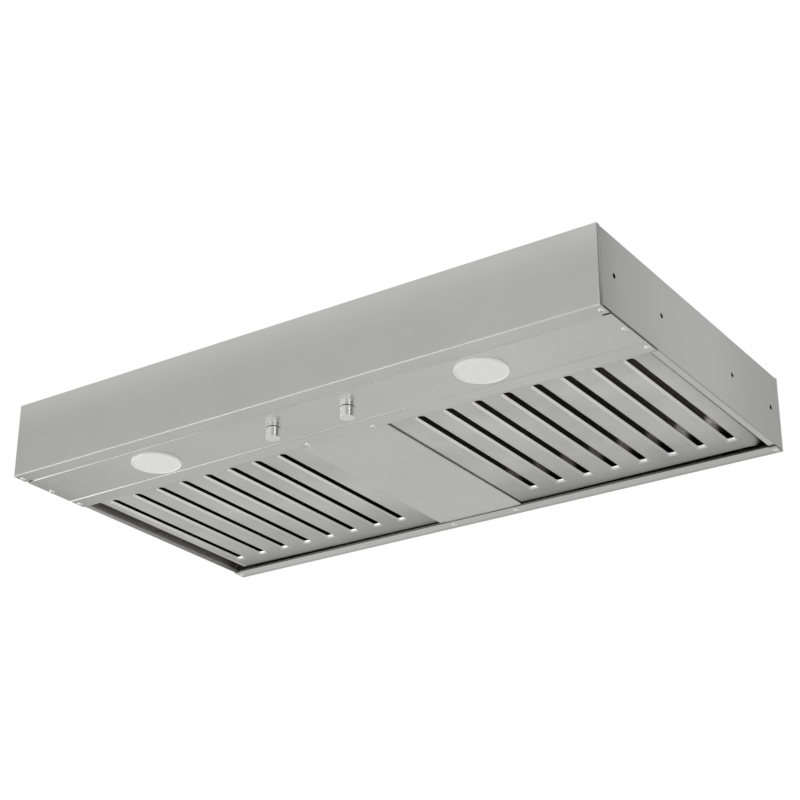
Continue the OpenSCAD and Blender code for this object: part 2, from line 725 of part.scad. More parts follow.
// The raised box: one sheet over the front, top and rear, and two ends
module blower_box() color(zinc) difference() {
    fold_x([[box_y0 - box_flange, top_z], [box_y0, top_z], [box_y0, box_z1], [box_y1, box_z1],
        [box_y1, top_z], [box_y1 + box_flange, top_z]], -box_x, box_x);
    translate([0, duct_y, box_z1 - cut]) cylinder(r = duct_d / 2 - duct_wall, h = sheet + 2 * cut);
    box_screw_holes();
}
module blower_box_ends() color(zinc) both_sides() difference() {
    mirror([1, 0, 0]) fold_y([[-box_x - box_flange, top_z], [-box_x, top_z],
        [-box_x, box_z1 - sheet], [-box_x + box_flange, box_z1 - sheet]],
        box_y0 + 2 * seat, box_y1 - 2 * seat);
    box_screw_holes();
}
module box_screw_places() {
    for (k = box_screw_x_shares, y = [box_y0 - box_flange / 2, box_y1 + box_flange / 2])
        translate([k * box_x, y, top_z]) children();
    for (k = box_screw_y_shares, s = [-1, 1])
        translate([s * (box_x + box_flange / 2), box_y0 + k * box_d, top_z]) children();
}
module box_screw_holes() box_screw_places() translate([0, 0, -2 * sheet - cut])
    cylinder(r = screw_r + screw_play, h = 3 * sheet + 2 * cut);
module top_screw_places(s) for (k = top_screw_x_shares)
    translate([k * side_x, s * (rear_y - top_flange / 2), body_h]) children();
module top_screw_holes(s) top_screw_places(s) translate([0, 0, -sheet - cut])
    cylinder(r = screw_r + screw_play, h = 3 * sheet + 2 * cut);

// The scroll: a spiral round the wheel that opens upwards into the throat
function scroll_at(a, inset) = let (r = tongue_r + scroll_growth * (a - scroll_start) / 360 - inset)
    [axis_y + r * cos(a), axis_z + r * sin(a)];
function scroll_line(inset) = concat(
    [[throat_y0 + inset, box_z1], [throat_y0 + inset, axis_z + tongue_r - inset]],
    [for (i = [0:scroll_steps]) scroll_at(scroll_start + (scroll_end - scroll_start) * i / scroll_steps, inset)],
    [[throat_y1 - inset, box_z1]]);
module scroll_wrap() color(zinc) along_x(-scroll_x, scroll_x)
    polygon(concat(scroll_line(0), reversed(scroll_line(scroll_sheet))));
module scroll_side() color(zinc) {
    difference() {
        union() {
            along_x(scroll_x, scroll_x + scroll_sheet) polygon(scroll_line(0));
            box([scroll_x, throat_y0, box_z1 - scroll_sheet], [scroll_x + scroll_flange, throat_y1, box_z1]);
        }
        turned_x([scroll_x - cut, axis_y, axis_z]) cylinder(r = inlet_r + inlet_flare, h = scroll_sheet + 2 * cut);
    }
    turned_x([scroll_x, axis_y, axis_z]) rotate_extrude() polygon(bent(
        [[inlet_r, -inlet_depth], [inlet_r, scroll_sheet], [inlet_r + inlet_flare, scroll_sheet]],
        -scroll_sheet, inlet_round));
}
module scroll_right_side() scroll_side();
module scroll_left_side() mirror([1, 0, 0]) scroll_side();

// The wheel: curved blades on a centre disc, tied by a ring at each end
module blade() {
    c = [(eye_r + wheel_r) / 2, (wheel_r - eye_r) / 2];
    r = norm([(wheel_r - eye_r) / 2, (wheel_r - eye_r) / 2]);
    polygon(concat(arc(c, r + blade_t / 2, 225, 90, roll_steps / 2),
        reversed(arc(c, r - blade_t / 2, 225, 90, roll_steps / 2))));
}
module ring(outer, inner, h) difference() {
    cylinder(r = outer, h = h);
    translate([0, 0, -cut]) cylinder(r = inner, h = h + 2 * cut);
}
module blower_wheel() color(steel_dark) turned_x([0, axis_y, axis_z]) {
    translate([0, 0, -wheel_w / 2]) linear_extrude(wheel_w)
        for (i = [0:blade_count - 1]) rotate(i * 360 / blade_count) blade();
    for (s = [-1, 1]) translate([0, 0, s * (wheel_w - wheel_ring_t) / 2 - wheel_ring_t / 2])
        ring(wheel_r + blade_t, wheel_r - wheel_ring, wheel_ring_t);
    translate([0, 0, -disc_t / 2]) ring(wheel_r, hub_r + running, disc_t);
}
module wheel_hub() color(zinc) turned_x([0, axis_y, axis_z]) difference() {
    union() {
        translate([0, 0, -hub_l / 2]) cylinder(r = hub_r, h = hub_l);
        translate([0, 0, disc_t / 2]) cylinder(r = hub_flange_r, h = hub_flange_t);
    }
    translate([0, 0, -hub_l / 2 - cut]) cylinder(r = shaft_d / 2, h = hub_l + 2 * cut);
}
module motor_shaft() color(chrome) turned_x([motor_x0 + shaft_in, axis_y, axis_z])
    cylinder(r = shaft_d / 2, h = hub_l / 2 + shaft_out - motor_x0 - shaft_in);

// The motor's shell, its two end bells and its nose, and the arms that carry it
module motor() color(black) turned_x([motor_x0, axis_y, axis_z]) difference() {
    rotate_extrude() polygon([[0, 0], [motor_r - motor_step, 0], [motor_r, motor_bell],
        [motor_r, motor_l - motor_bell], [motor_r - motor_step, motor_l - nose_l],
        [nose_r, motor_l - nose_l], [nose_r, motor_l], [0, motor_l]]);
    translate([0, 0, shaft_in - cut]) cylinder(r = shaft_d / 2 + running, h = motor_l);
    for (i = [0:vent_count - 1]) rotate([0, 0, i * 360 / vent_count])
        box([motor_r - motor_step - vent_l, -vent_w / 2, -cut], [motor_r - motor_step - cut, vent_w / 2, cut]);
}
module motor_mount() color(zinc) turned_x([motor_x0, axis_y, axis_z]) {
    mid = (motor_l - band_w) / 2;
    plate = -scroll_x - scroll_sheet - motor_x0;
    translate([0, 0, mid]) ring(motor_r + running + band_t, motor_r + running, band_w);
    for (a = arm_angles) rotate([0, 0, a]) fold_y([[motor_r + running + band_t, mid],
        [arm_r, mid], [arm_r, plate], [arm_r - arm_foot, plate]],
        -arm_w / 2, arm_w / 2, band_t, bend_r);
}

// The duct collar with the two halves of its backdraft damper
module at_duct(z) translate([0, duct_y, z]) children();
module duct_collar() color(zinc) at_duct(0) difference() {
    union() {
        translate([0, 0, collar_z]) ring(duct_d / 2 + duct_flange, duct_d / 2 - duct_wall, sheet);
        translate([0, 0, collar_z]) ring(duct_d / 2, duct_d / 2 - duct_wall, duct_h);
        for (s = [-1, 1]) scale([1, s, 1]) intersection() {
            box([-stop_w / 2, damper_r - stop_w / 2, damper_z - damper_t - stop_t],
                [stop_w / 2, duct_d / 2, damper_z - damper_t]);
            translate([0, 0, collar_z]) cylinder(r = duct_d / 2 - duct_wall / 2, h = duct_h);
        }
    }
    turned_x([-duct_d, 0, damper_z]) cylinder(r = damper_pin_d / 2 + running, h = 2 * duct_d);
}
module damper_pin() color(chrome) at_duct(damper_z) {
    l = duct_d / 2 - pin_head_in;
    turned_x([-l, 0, 0]) cylinder(r = damper_pin_d / 2, h = 2 * l);
    for (s = [0, 1]) mirror([s, 0, 0]) turned_x([l - duct_wall - seat - pin_head_h, 0, 0])
        cylinder(r = pin_head_r, h = pin_head_h);
}
// Half a disc with two knuckles on the pin, each between two shares of the radius
module damper(from_share, to_share) color(zinc) difference() {
    union() {
        intersection() {
            translate([0, 0, -damper_t / 2]) cylinder(r = damper_r, h = damper_t);
            box([-damper_r, knuckle_r + seat, -damper_t], [damper_r, damper_r, damper_t]);
        }
        both_sides() {
            turned_x([from_share * damper_r, 0, 0]) cylinder(r = knuckle_r, h = (to_share - from_share) * damper_r);
            box([from_share * damper_r, 0, -damper_t / 2], [to_share * damper_r, 2 * knuckle_r, damper_t / 2]);
        }
    }
    turned_x([-damper_r, 0, 0]) cylinder(r = damper_pin_d / 2 + running, h = 2 * damper_r);
}
module rear_damper() at_duct(damper_z) damper(damper_x_shares[2], damper_x_shares[3]);
module front_damper() at_duct(damper_z) mirror([0, 1, 0]) damper(damper_x_shares[0], damper_x_shares[1]);

// The junction box for the house cable
module at_junction(z) translate([junction_at[0], junction_at[1], z]) children();
module junction_box() color(zinc) at_junction(top_z) difference() {
    w = junction_size[0] / 2;
    d = junction_size[1] / 2;
    t = junction_wall;
    box([-w, -d, 0], [w, d, junction_size[2]]);
    box([t - w, t - d, t], [w - t, d - t, junction_size[2] + cut]);
    turned_x([-w - cut, 0, knockout_z]) cylinder(r = knockout_r, h = t + 2 * cut);
    translate([0, -grommet_y, -cut]) cylinder(r = grommet_r, h = t + 2 * cut);
}
module junction_cover() color(zinc) at_junction(top_z + junction_size[2]) difference() {
    w = junction_size[0] / 2 + junction_wall + seat;
    d = junction_size[1] / 2 + junction_wall + seat;
    t = junction_wall;
    box([-w, -d, -junction_lid_skirt], [w, d, t]);
    box([t - w, t - d, -junction_lid_skirt - cut], [w - t, d - t, 0]);
}
module cable_bushing() color(black) at_junction(top_z + knockout_z)
    turned_x([-junction_size[0] / 2 - bushing_body_l, 0, 0]) difference() {
        union() {
            cylinder(r = knockout_r - running, h = bushing_body_l + 2 * bushing_flange_t);
            translate([0, 0, bushing_body_l - bushing_flange_t]) cylinder(r = bushing_flange_r, h = bushing_flange_t);
        }
        translate([0, 0, -cut]) cylinder(r = bushing_bore_r, h = bushing_body_l + 3 * bushing_flange_t);
    }
module wire_grommet() color(black) at_junction(body_h) translate([0, -grommet_y, 0]) rotate_extrude() polygon([
    [grommet_r - grommet_flange, -grommet_t], [grommet_r + grommet_flange, -grommet_t],
    [grommet_r + grommet_flange, 0], [grommet_r - running, 0],
    [grommet_r - running, sheet + junction_wall], [grommet_r + grommet_flange, sheet + junction_wall],
    [grommet_r + grommet_flange, sheet + junction_wall + grommet_t],
    [grommet_r - grommet_flange, sheet + junction_wall + grommet_t]]);
// A barrier block with a screw each side of every pole
module terminal_block() color(white) at_junction(top_z + junction_wall) {
    w = block_size[0] / 2;
    y = junction_size[1] / 2 - junction_wall - seat - block_size[1];
    pole = (block_size[0] - block_wall) / block_poles;
    box([-w, y, 0], [w, y + block_size[1], block_step]);
    for (i = [0:block_poles]) box([i * pole - w, y, 0], [i * pole - w + block_wall, y + block_size[1], block_size[2]]);
    for (i = [0:block_poles - 1], s = [1, 3]) translate([(i + 1 / 2) * pole + block_wall / 2 - w,
        y + s * block_size[1] / 4, block_step]) cylinder(r = block_screw_r, h = block_wall);
}

// Pan-head screws, drawn with the head below the origin
module screw() {
    cylinder(r = screw_r, h = screw_l);
    rotate_extrude() polygon(concat([[0, 0]], [[0, -screw_head_h]],
        arc([screw_head_r - screw_head_h, 0], screw_head_h, 270, 90, bend_steps)));
}
module underside_screws() color(chrome) both_sides() for (p = concat(side_screws, centre_screws))
    translate([p[0], p[1], 0]) screw();
module top_screws() color(chrome) for (s = [-1, 1]) top_screw_places(s) translate([0, 0, sheet]) mirror([0, 0, 1]) screw();
module box_screws() color(chrome) box_screw_places() translate([0, 0, sheet]) mirror([0, 0, 1]) screw();

front_panel();
rear_panel();
left_side_panel();
right_side_panel();
top_panel();
control_panel();
filter_rail();
centre_panel();
compartment_wall();
corner_brackets();
filter_catches();
left_filter_face();
left_filter_baffles();
left_filter_frame();
left_filter_hooks();
right_filter_face();
right_filter_baffles();
right_filter_frame();
right_filter_hooks();
left_lamp_ring();
left_lamp_lens();
left_lamp_body();
right_lamp_ring();
right_lamp_lens();
right_lamp_body();
lamp_clips();
light_knob();
light_shaft();
light_switch();
fan_knob();
fan_shaft();
fan_switch();
switch_nuts();
lamp_driver();
motor_capacitor();
blower_box();
blower_box_ends();
scroll_wrap();
scroll_left_side();
scroll_right_side();
blower_wheel();
wheel_hub();
motor();
motor_shaft();
motor_mount();
duct_collar();
damper_pin();
front_damper();
rear_damper();
junction_box();
junction_cover();
terminal_block();
cable_bushing();
wire_grommet();
underside_screws();
top_screws();
box_screws();
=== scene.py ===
# %% [markdown]
# # A range hood insert, seen from below
# The insert is a shallow box of brushed stainless sheet that slides up into a cabinet.
# Its underside carries two slotted baffle filters, two lamps and two knobs, and a blower
# stands in a second box on its top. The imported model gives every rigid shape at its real
# size, so this script is about what makes it look real: finishes, rolled and polished
# edges, screw heads, and the light that bare metal reflects.

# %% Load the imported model
import json
import math

import bpy
from mathutils import Matrix, Vector

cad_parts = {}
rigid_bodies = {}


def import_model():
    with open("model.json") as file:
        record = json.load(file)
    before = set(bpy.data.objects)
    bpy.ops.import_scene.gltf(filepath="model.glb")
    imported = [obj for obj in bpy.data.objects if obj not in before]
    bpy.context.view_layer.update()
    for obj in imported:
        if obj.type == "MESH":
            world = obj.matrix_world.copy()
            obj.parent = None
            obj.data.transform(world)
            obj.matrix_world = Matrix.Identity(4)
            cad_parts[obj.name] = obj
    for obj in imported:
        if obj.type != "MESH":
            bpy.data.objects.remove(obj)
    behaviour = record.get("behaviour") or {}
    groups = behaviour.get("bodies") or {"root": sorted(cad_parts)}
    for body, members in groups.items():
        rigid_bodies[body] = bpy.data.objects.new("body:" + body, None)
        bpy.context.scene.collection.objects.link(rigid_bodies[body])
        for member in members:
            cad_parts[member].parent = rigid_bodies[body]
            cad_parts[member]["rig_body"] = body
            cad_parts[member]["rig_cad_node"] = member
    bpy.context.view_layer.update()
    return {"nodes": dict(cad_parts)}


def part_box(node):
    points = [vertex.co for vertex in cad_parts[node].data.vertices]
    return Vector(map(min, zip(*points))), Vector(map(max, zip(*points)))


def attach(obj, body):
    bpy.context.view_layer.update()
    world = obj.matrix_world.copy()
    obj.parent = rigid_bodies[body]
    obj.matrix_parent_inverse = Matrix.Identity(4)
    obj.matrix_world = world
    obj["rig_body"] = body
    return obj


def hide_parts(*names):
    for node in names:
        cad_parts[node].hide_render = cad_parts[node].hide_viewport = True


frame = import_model()
nodes = frame["nodes"]

# %% [markdown]
# ## The camera
# The photograph looks up at the insert from below and from the front right. The seven
# corners of the box that it shows fix one camera: its place, its direction, a slight roll
# and a long lens. No lens shift is needed.

# %% Camera
CAMERA_PLACE = (1.2375, -1.7906, -0.9096)
CAMERA_AZIMUTH = math.radians(34.373)
CAMERA_RISE = math.radians(24.704)
CAMERA_ROLL = math.radians(0.248)
FOCAL_PIXELS = 1827.9
PHOTO_SIDE = 800
SENSOR = 36.0


def camera_turn(azimuth, rise, roll):
    ahead = Vector((-math.sin(azimuth) * math.cos(rise), math.cos(azimuth) * math.cos(rise), math.sin(rise)))
    right = Vector((math.cos(azimuth), math.sin(azimuth), 0))
    up = right.cross(ahead)
    rolled_right = right * math.cos(roll) + up * math.sin(roll)
    rolled_up = up * math.cos(roll) - right * math.sin(roll)
    return Matrix((rolled_right, rolled_up, -ahead)).transposed()


bpy.ops.object.select_all(action="DESELECT")
bpy.ops.object.camera_add(location=CAMERA_PLACE)
camera = bpy.context.object
camera.name = "photo_camera"
camera.rotation_euler = camera_turn(CAMERA_AZIMUTH, CAMERA_RISE, CAMERA_ROLL).to_euler()
camera.data.sensor_width = SENSOR
camera.data.lens = FOCAL_PIXELS * SENSOR / PHOTO_SIDE
camera.data.clip_start = 0.05
camera.data.clip_end = 60
bpy.context.scene.camera = camera
bpy.context.scene.view_settings.view_transform = "Standard"
print("lens", round(camera.data.lens, 2), "mm")

# %% [markdown]
# ## Light and floor
# Bare metal shows what is round it, so the studio matters as much as the finish. A sky
# that is a little brighter above than below surrounds the insert. A picture of a real
# studio would do the same, but a sky of a few nodes needs no file and is easy to change.
# The camera sees plain white in its place.

# %% Sky
SKY_MARKS = ((0.35, 0.62), (0.95, 0.80))

world = bpy.data.worlds.new("studio")
bpy.context.scene.world = world
world.use_nodes = True
sky = world.node_tree
sky.nodes.clear()
sky_out = sky.nodes.new("ShaderNodeOutputWorld")
sky_mix = sky.nodes.new("ShaderNodeMixShader")
sky_path = sky.nodes.new("ShaderNodeLightPath")
seen_sky = sky.nodes.new("ShaderNodeBackground")
lighting_sky = sky.nodes.new("ShaderNodeBackground")
sky_where = sky.nodes.new("ShaderNodeTexCoord")
sky_parts = sky.nodes.new("ShaderNodeSeparateXYZ")
sky_ramp = sky.nodes.new("ShaderNodeValToRGB")
sky_height = sky.nodes.new("ShaderNodeMath")
seen_sky.inputs["Color"].default_value = (1, 1, 1, 1)
sky_height.operation = "MULTIPLY_ADD"
sky_height.inputs[1].default_value = 0.5
sky_height.inputs[2].default_value = 0.5
for mark, (height, grey) in zip(sky_ramp.color_ramp.elements, SKY_MARKS):
    mark.position = height
    mark.color = (grey, grey, grey, 1)
sky.links.new(sky_where.outputs["Generated"], sky_parts.inputs[0])
sky.links.new(sky_parts.outputs["Z"], sky_height.inputs[0])
sky.links.new(sky_height.outputs[0], sky_ramp.inputs["Fac"])
sky.links.new(sky_path.outputs["Is Camera Ray"], sky_mix.inputs["Fac"])
sky.links.new(lighting_sky.outputs[0], sky_mix.inputs[1])
sky.links.new(seen_sky.outputs[0], sky_mix.inputs[2])
sky.links.new(sky_mix.outputs[0], sky_out.inputs["Surface"])
print("sky nodes", len(sky.nodes))

# %% [markdown]
# A studio is never even. One patch of the sky, to the right and above, is darker with a
# soft edge, as if a screen stood there, so metal that faces it looks darker.

# %% Dim patch of the sky
PATCH_AZIMUTH, PATCH_RISE = math.radians(5), math.radians(25)
PATCH_INSIDE, PATCH_OUTSIDE = math.radians(20), math.radians(38)
PATCH_GREY = 0.25

patch_near = sky.nodes.new("ShaderNodeVectorMath")
patch_near.operation = "DOT_PRODUCT"
patch_near.inputs[1].default_value = (
    math.cos(PATCH_AZIMUTH) * math.cos(PATCH_RISE),
    math.sin(PATCH_AZIMUTH) * math.cos(PATCH_RISE),
    math.sin(PATCH_RISE),
)
patch_edge = sky.nodes.new("ShaderNodeMapRange")
patch_edge.interpolation_type = "SMOOTHSTEP"
patch_edge.inputs["From Min"].default_value = math.cos(PATCH_OUTSIDE)
patch_edge.inputs["From Max"].default_value = math.cos(PATCH_INSIDE)
patch_edge.inputs["To Min"].default_value = 1.0
patch_edge.inputs["To Max"].default_value = PATCH_GREY
patch_dim = sky.nodes.new("ShaderNodeMix")
patch_dim.data_type = "RGBA"
patch_dim.blend_type = "MULTIPLY"
patch_dim.inputs["Factor"].default_value = 1.0
sky.links.new(sky_where.outputs["Generated"], patch_near.inputs[0])
sky.links.new(patch_near.outputs["Value"], patch_edge.inputs["Value"])
sky.links.new(sky_ramp.outputs["Color"], patch_dim.inputs["A"])
sky.links.new(patch_edge.outputs["Result"], patch_dim.inputs["B"])
sky.links.new(patch_dim.outputs["Result"], lighting_sky.inputs["Color"])
print("patch half as wide as", round(math.degrees(PATCH_OUTSIDE)), "degrees")

# %% [markdown]
# A wide pale floor lies as far below the insert as a kitchen floor does. A small one
# would show its edge in the metal, and one that is too near would light it from below.

# %% Floor
FLOOR_Z = -1.65
FLOOR_SIDE = 80.0
FLOOR_COLOUR = (0.86, 0.86, 0.855)


def matt(name, colour):
    look = bpy.data.materials.new(name)
    look.use_nodes = True
    shader = look.node_tree.nodes["Principled BSDF"]
    shader.inputs["Base Color"].default_value = (*colour, 1)
    shader.inputs["Roughness"].default_value = 0.9
    return look


bpy.ops.mesh.primitive_plane_add(size=FLOOR_SIDE, location=(0, 0, FLOOR_Z))
floor = bpy.context.object
floor.name = "floor"
floor.data.materials.append(matt("pale_floor", FLOOR_COLOUR))
print("floor at", FLOOR_Z)

# %% [markdown]
# Four soft lamps stand low, in front and on both sides. Their reflections are the bright
# lines along the bends and down the knobs. A spot would leave hard dots there, so each
# lamp is a panel. All of them look at the insert, and none shows to the camera.

# %% Lamps of the studio
STUDIO_LAMPS = (
    ("low_front_lamp", (-1.25, -1.0, -1.45), (0.9, 0.9), 5),
    ("front_fill_lamp", (-0.7, -3.3, -0.95), (2.2, 2.2), 7),
    ("strip_lamp", (2.44, -1.19, -1.22), (0.26, 0.7), 2.6),
    ("left_strip_lamp", (-2.7, -0.15, -1.22), (0.26, 0.7), 2.0),
)
for name, place, (width, height), power in STUDIO_LAMPS:
    bpy.ops.object.light_add(type="AREA", location=place)
    lamp = bpy.context.object
    lamp.name = name
    lamp.data.shape = "RECTANGLE"
    lamp.data.size = width
    lamp.data.size_y = height
    lamp.data.energy = power
    lamp.rotation_euler = (-Vector(place)).to_track_quat("-Z", "Y").to_euler()
    lamp.visible_camera = False
print("lamps", len(STUDIO_LAMPS))

# %% [markdown]
# A photographer stands a dark card beside polished metal to give it a dark edge. This one
# stands low on the right, and only the knobs, the screws and the lamp rings show it.

# %% Dark card
CARD_AZIMUTH = math.radians(12)
CARD_SIZE = (2.7, 0.85)
CARD_AWAY = 3.0
CARD_COLOUR = (0.02, 0.02, 0.02)

bpy.ops.mesh.primitive_plane_add(size=1, location=(0, 0, 0))
card = bpy.context.object
card.name = "dark_card"
card.scale = (CARD_SIZE[0], CARD_SIZE[1], 1)
card.rotation_euler = (math.radians(90), 0, CARD_AZIMUTH + math.radians(90))
card.location = (
    math.cos(CARD_AZIMUTH) * CARD_AWAY, math.sin(CARD_AZIMUTH) * CARD_AWAY, FLOOR_Z + CARD_SIZE[1] / 2,
)
card.data.materials.append(matt("dark_card", CARD_COLOUR))
card.visible_camera = False
print("card at", [round(v, 2) for v in card.location])

# %% [markdown]
# ## Patterns that several finishes share
# Stainless sheet is brushed with a belt, so its grain is thousands of short scratches in
# one direction. A noise that is stretched a hundred times along that direction gives the
# same streaks. A second, slow noise stands for the faint clouds that rolling and handling
# leave. Both are built once as node groups and placed in each material.


# %% Node groups
def group_of(name, inputs, outputs):
    group = bpy.data.node_groups.new(name, "ShaderNodeTree")
    for label, kind, value in inputs:
        socket = group.interface.new_socket(name=label, in_out="INPUT", socket_type=kind)
        if value is not None:
            socket.default_value = value
    for label, kind in outputs:
        group.interface.new_socket(name=label, in_out="OUTPUT", socket_type=kind)
    return group, group.nodes.new("NodeGroupInput"), group.nodes.new("NodeGroupOutput")


def belt_grain_group():
    group, given, result = group_of(
        "belt_grain",
        [("Vector", "NodeSocketVector", None), ("Fineness", "NodeSocketFloat", 1.0)],
        [("Streaks", "NodeSocketFloat"), ("Clouds", "NodeSocketFloat")],
    )
    streaks = group.nodes.new("ShaderNodeTexNoise")
    streaks.inputs["Detail"].default_value = 3
    streaks.inputs["Roughness"].default_value = 0.6
    clouds = group.nodes.new("ShaderNodeTexNoise")
    clouds.inputs["Scale"].default_value = 9
    clouds.inputs["Detail"].default_value = 3
    clouds.inputs["Roughness"].default_value = 0.55
    where = group.nodes.new("ShaderNodeTexCoord")
    group.links.new(given.outputs["Vector"], streaks.inputs["Vector"])
    group.links.new(given.outputs["Fineness"], streaks.inputs["Scale"])
    group.links.new(where.outputs["Object"], clouds.inputs["Vector"])
    group.links.new(streaks.outputs["Fac"], result.inputs["Streaks"])
    group.links.new(clouds.outputs["Fac"], result.inputs["Clouds"])
    return group


def spangle_group():
    group, given, result = group_of(
        "zinc_spangle",
        [("Vector", "NodeSocketVector", None), ("Size", "NodeSocketFloat", 90.0)],
        [("Crystal", "NodeSocketFloat"), ("Cloud", "NodeSocketFloat")],
    )
    cells = group.nodes.new("ShaderNodeTexVoronoi")
    cells.feature = "F1"
    cells.inputs["Randomness"].default_value = 1.0
    bend = group.nodes.new("ShaderNodeTexNoise")
    bend.inputs["Scale"].default_value = 40
    bend.inputs["Detail"].default_value = 3
    push = group.nodes.new("ShaderNodeVectorMath")
    push.operation = "MULTIPLY_ADD"
    push.inputs[1].default_value = (0.02, 0.02, 0.02)
    grey = group.nodes.new("ShaderNodeSeparateColor")
    group.links.new(given.outputs["Vector"], bend.inputs["Vector"])
    group.links.new(bend.outputs["Color"], push.inputs[0])
    group.links.new(given.outputs["Vector"], push.inputs[2])
    group.links.new(push.outputs[0], cells.inputs["Vector"])
    group.links.new(given.outputs["Size"], cells.inputs["Scale"])
    group.links.new(cells.outputs["Color"], grey.inputs[0])
    group.links.new(grey.outputs[0], result.inputs["Crystal"])
    group.links.new(bend.outputs["Fac"], result.inputs["Cloud"])
    return group


BELT_GRAIN = belt_grain_group()
SPANGLE = spangle_group()
print("groups", BELT_GRAIN.name, SPANGLE.name)

# %% [markdown]
# ## Finishes
# Every finish starts from the Principled shader. What varies over the surface, such as
# the grain, goes through nodes into the colour, the roughness and a faint bump. What is
# the same all over is set on the shader itself.


# %% Helpers for materials
MM = 0.001
NOISE_REACH = (0.25, 0.75)
TINT_REACH = (0.3, 0.7)


def new_finish(name, colour, metallic, roughness):
    material = bpy.data.materials.new(name)
    material.use_nodes = True
    shader = material.node_tree.nodes["Principled BSDF"]
    shader.inputs["Base Color"].default_value = (*colour, 1)
    shader.inputs["Metallic"].default_value = metallic
    shader.inputs["Roughness"].default_value = roughness
    material.diffuse_color = (*colour, 1)
    return material, material.node_tree, shader


def ranged(tree, source, low, high):
    node = tree.nodes.new("ShaderNodeMapRange")
    node.inputs["From Min"].default_value = NOISE_REACH[0]
    node.inputs["From Max"].default_value = NOISE_REACH[1]
    node.inputs["To Min"].default_value = low
    node.inputs["To Max"].default_value = high
    tree.links.new(source, node.inputs["Value"])
    return node.outputs["Result"]


def tinted(tree, shader, source, dark, light):
    ramp = tree.nodes.new("ShaderNodeValToRGB")
    ramp.color_ramp.elements[0].position = TINT_REACH[0]
    ramp.color_ramp.elements[0].color = (*dark, 1)
    ramp.color_ramp.elements[1].position = TINT_REACH[1]
    ramp.color_ramp.elements[1].color = (*light, 1)
    tree.links.new(source, ramp.inputs["Fac"])
    tree.links.new(ramp.outputs["Color"], shader.inputs["Base Color"])


def bumped(tree, shader, source, strength, distance):
    bump = tree.nodes.new("ShaderNodeBump")
    bump.inputs["Strength"].default_value = strength
    bump.inputs["Distance"].default_value = distance
    tree.links.new(source, bump.inputs["Height"])
    tree.links.new(bump.outputs["Normal"], shader.inputs["Normal"])


# %% Helpers for coordinates and tones
def object_coordinates(tree, scale=(1, 1, 1)):
    where = tree.nodes.new("ShaderNodeTexCoord")
    mapping = tree.nodes.new("ShaderNodeMapping")
    mapping.inputs["Scale"].default_value = scale
    tree.links.new(where.outputs["Object"], mapping.inputs["Vector"])
    return mapping.outputs["Vector"]


def added(tree, first, second):
    node = tree.nodes.new("ShaderNodeMath")
    node.operation = "ADD"
    tree.links.new(first, node.inputs[0])
    tree.links.new(second, node.inputs[1])
    return node.outputs[0]


def painted_tone_along(tree, shader, axis, stops):
    """Paints light and shade into the colour along one axis; stops are (millimetres, factor)."""
    where = tree.nodes.new("ShaderNodeTexCoord")
    parts = tree.nodes.new("ShaderNodeSeparateXYZ")
    along = tree.nodes.new("ShaderNodeMapRange")
    ramp = tree.nodes.new("ShaderNodeValToRGB")
    low, high = stops[0][0], stops[-1][0]
    along.inputs["From Min"].default_value = low * MM
    along.inputs["From Max"].default_value = high * MM
    marks = ramp.color_ramp.elements
    for i, (place, factor) in enumerate(stops):
        share = (place - low) / (high - low)
        mark = marks[i] if i < 2 else marks.new(share)
        mark.position = share
        mark.color = (factor, factor, factor, 1)
    mix = tree.nodes.new("ShaderNodeMix")
    mix.data_type = "RGBA"
    mix.blend_type = "MULTIPLY"
    mix.inputs["Factor"].default_value = 1.0
    tree.links.new(where.outputs["Object"], parts.inputs[0])
    tree.links.new(parts.outputs[axis], along.inputs["Value"])
    tree.links.new(along.outputs["Result"], ramp.inputs["Fac"])
    before = shader.inputs["Base Color"].links[0].from_socket
    tree.links.new(before, mix.inputs["A"])
    tree.links.new(ramp.outputs["Color"], mix.inputs["B"])
    tree.links.new(mix.outputs["Result"], shader.inputs["Base Color"])


# %% [markdown]
# ### Brushed stainless
# The sheet's own colour is one grey, but each face also carries the light that the studio
# throws on it: a face that looks at the floor is paler than one that looks away. A long
# render with a full kitchen round it would bring that by itself. Here that light and shade
# is painted into the colour: each group of faces has its own finish, with the same grain,
# and a painted lightening or darkening along one axis.

# %% Brushed stainless
GRAIN_ALONG, GRAIN_ACROSS = 14, 1500
GRAIN_ROUGHNESS, CLOUD_ROUGHNESS = 0.06, 0.03
GRAIN_BUMP, GRAIN_DEPTH = 0.12, 0.0001


def brushed(name, colour, along, roughness=0.36, contrast=0.03, painted_light_stops=(), metallic=1.0):
    stretch = tuple(GRAIN_ALONG if axis == along else GRAIN_ACROSS for axis in "XYZ")
    material, tree, shader = new_finish(name, colour, metallic, roughness)
    grain = tree.nodes.new("ShaderNodeGroup")
    grain.node_tree = BELT_GRAIN
    tree.links.new(object_coordinates(tree, stretch), grain.inputs["Vector"])
    dark = tuple(c * (1 - contrast) for c in colour)
    light = tuple(c * (1 + contrast) for c in colour)
    tinted(tree, shader, grain.outputs["Clouds"], dark, light)
    rough = added(
        tree,
        ranged(tree, grain.outputs["Streaks"], roughness - GRAIN_ROUGHNESS, roughness + GRAIN_ROUGHNESS),
        ranged(tree, grain.outputs["Clouds"], -CLOUD_ROUGHNESS, CLOUD_ROUGHNESS),
    )
    tree.links.new(rough, shader.inputs["Roughness"])
    bumped(tree, shader, grain.outputs["Streaks"], GRAIN_BUMP, GRAIN_DEPTH)
    for axis, stops in painted_light_stops:
        painted_tone_along(tree, shader, axis, stops)
    return material
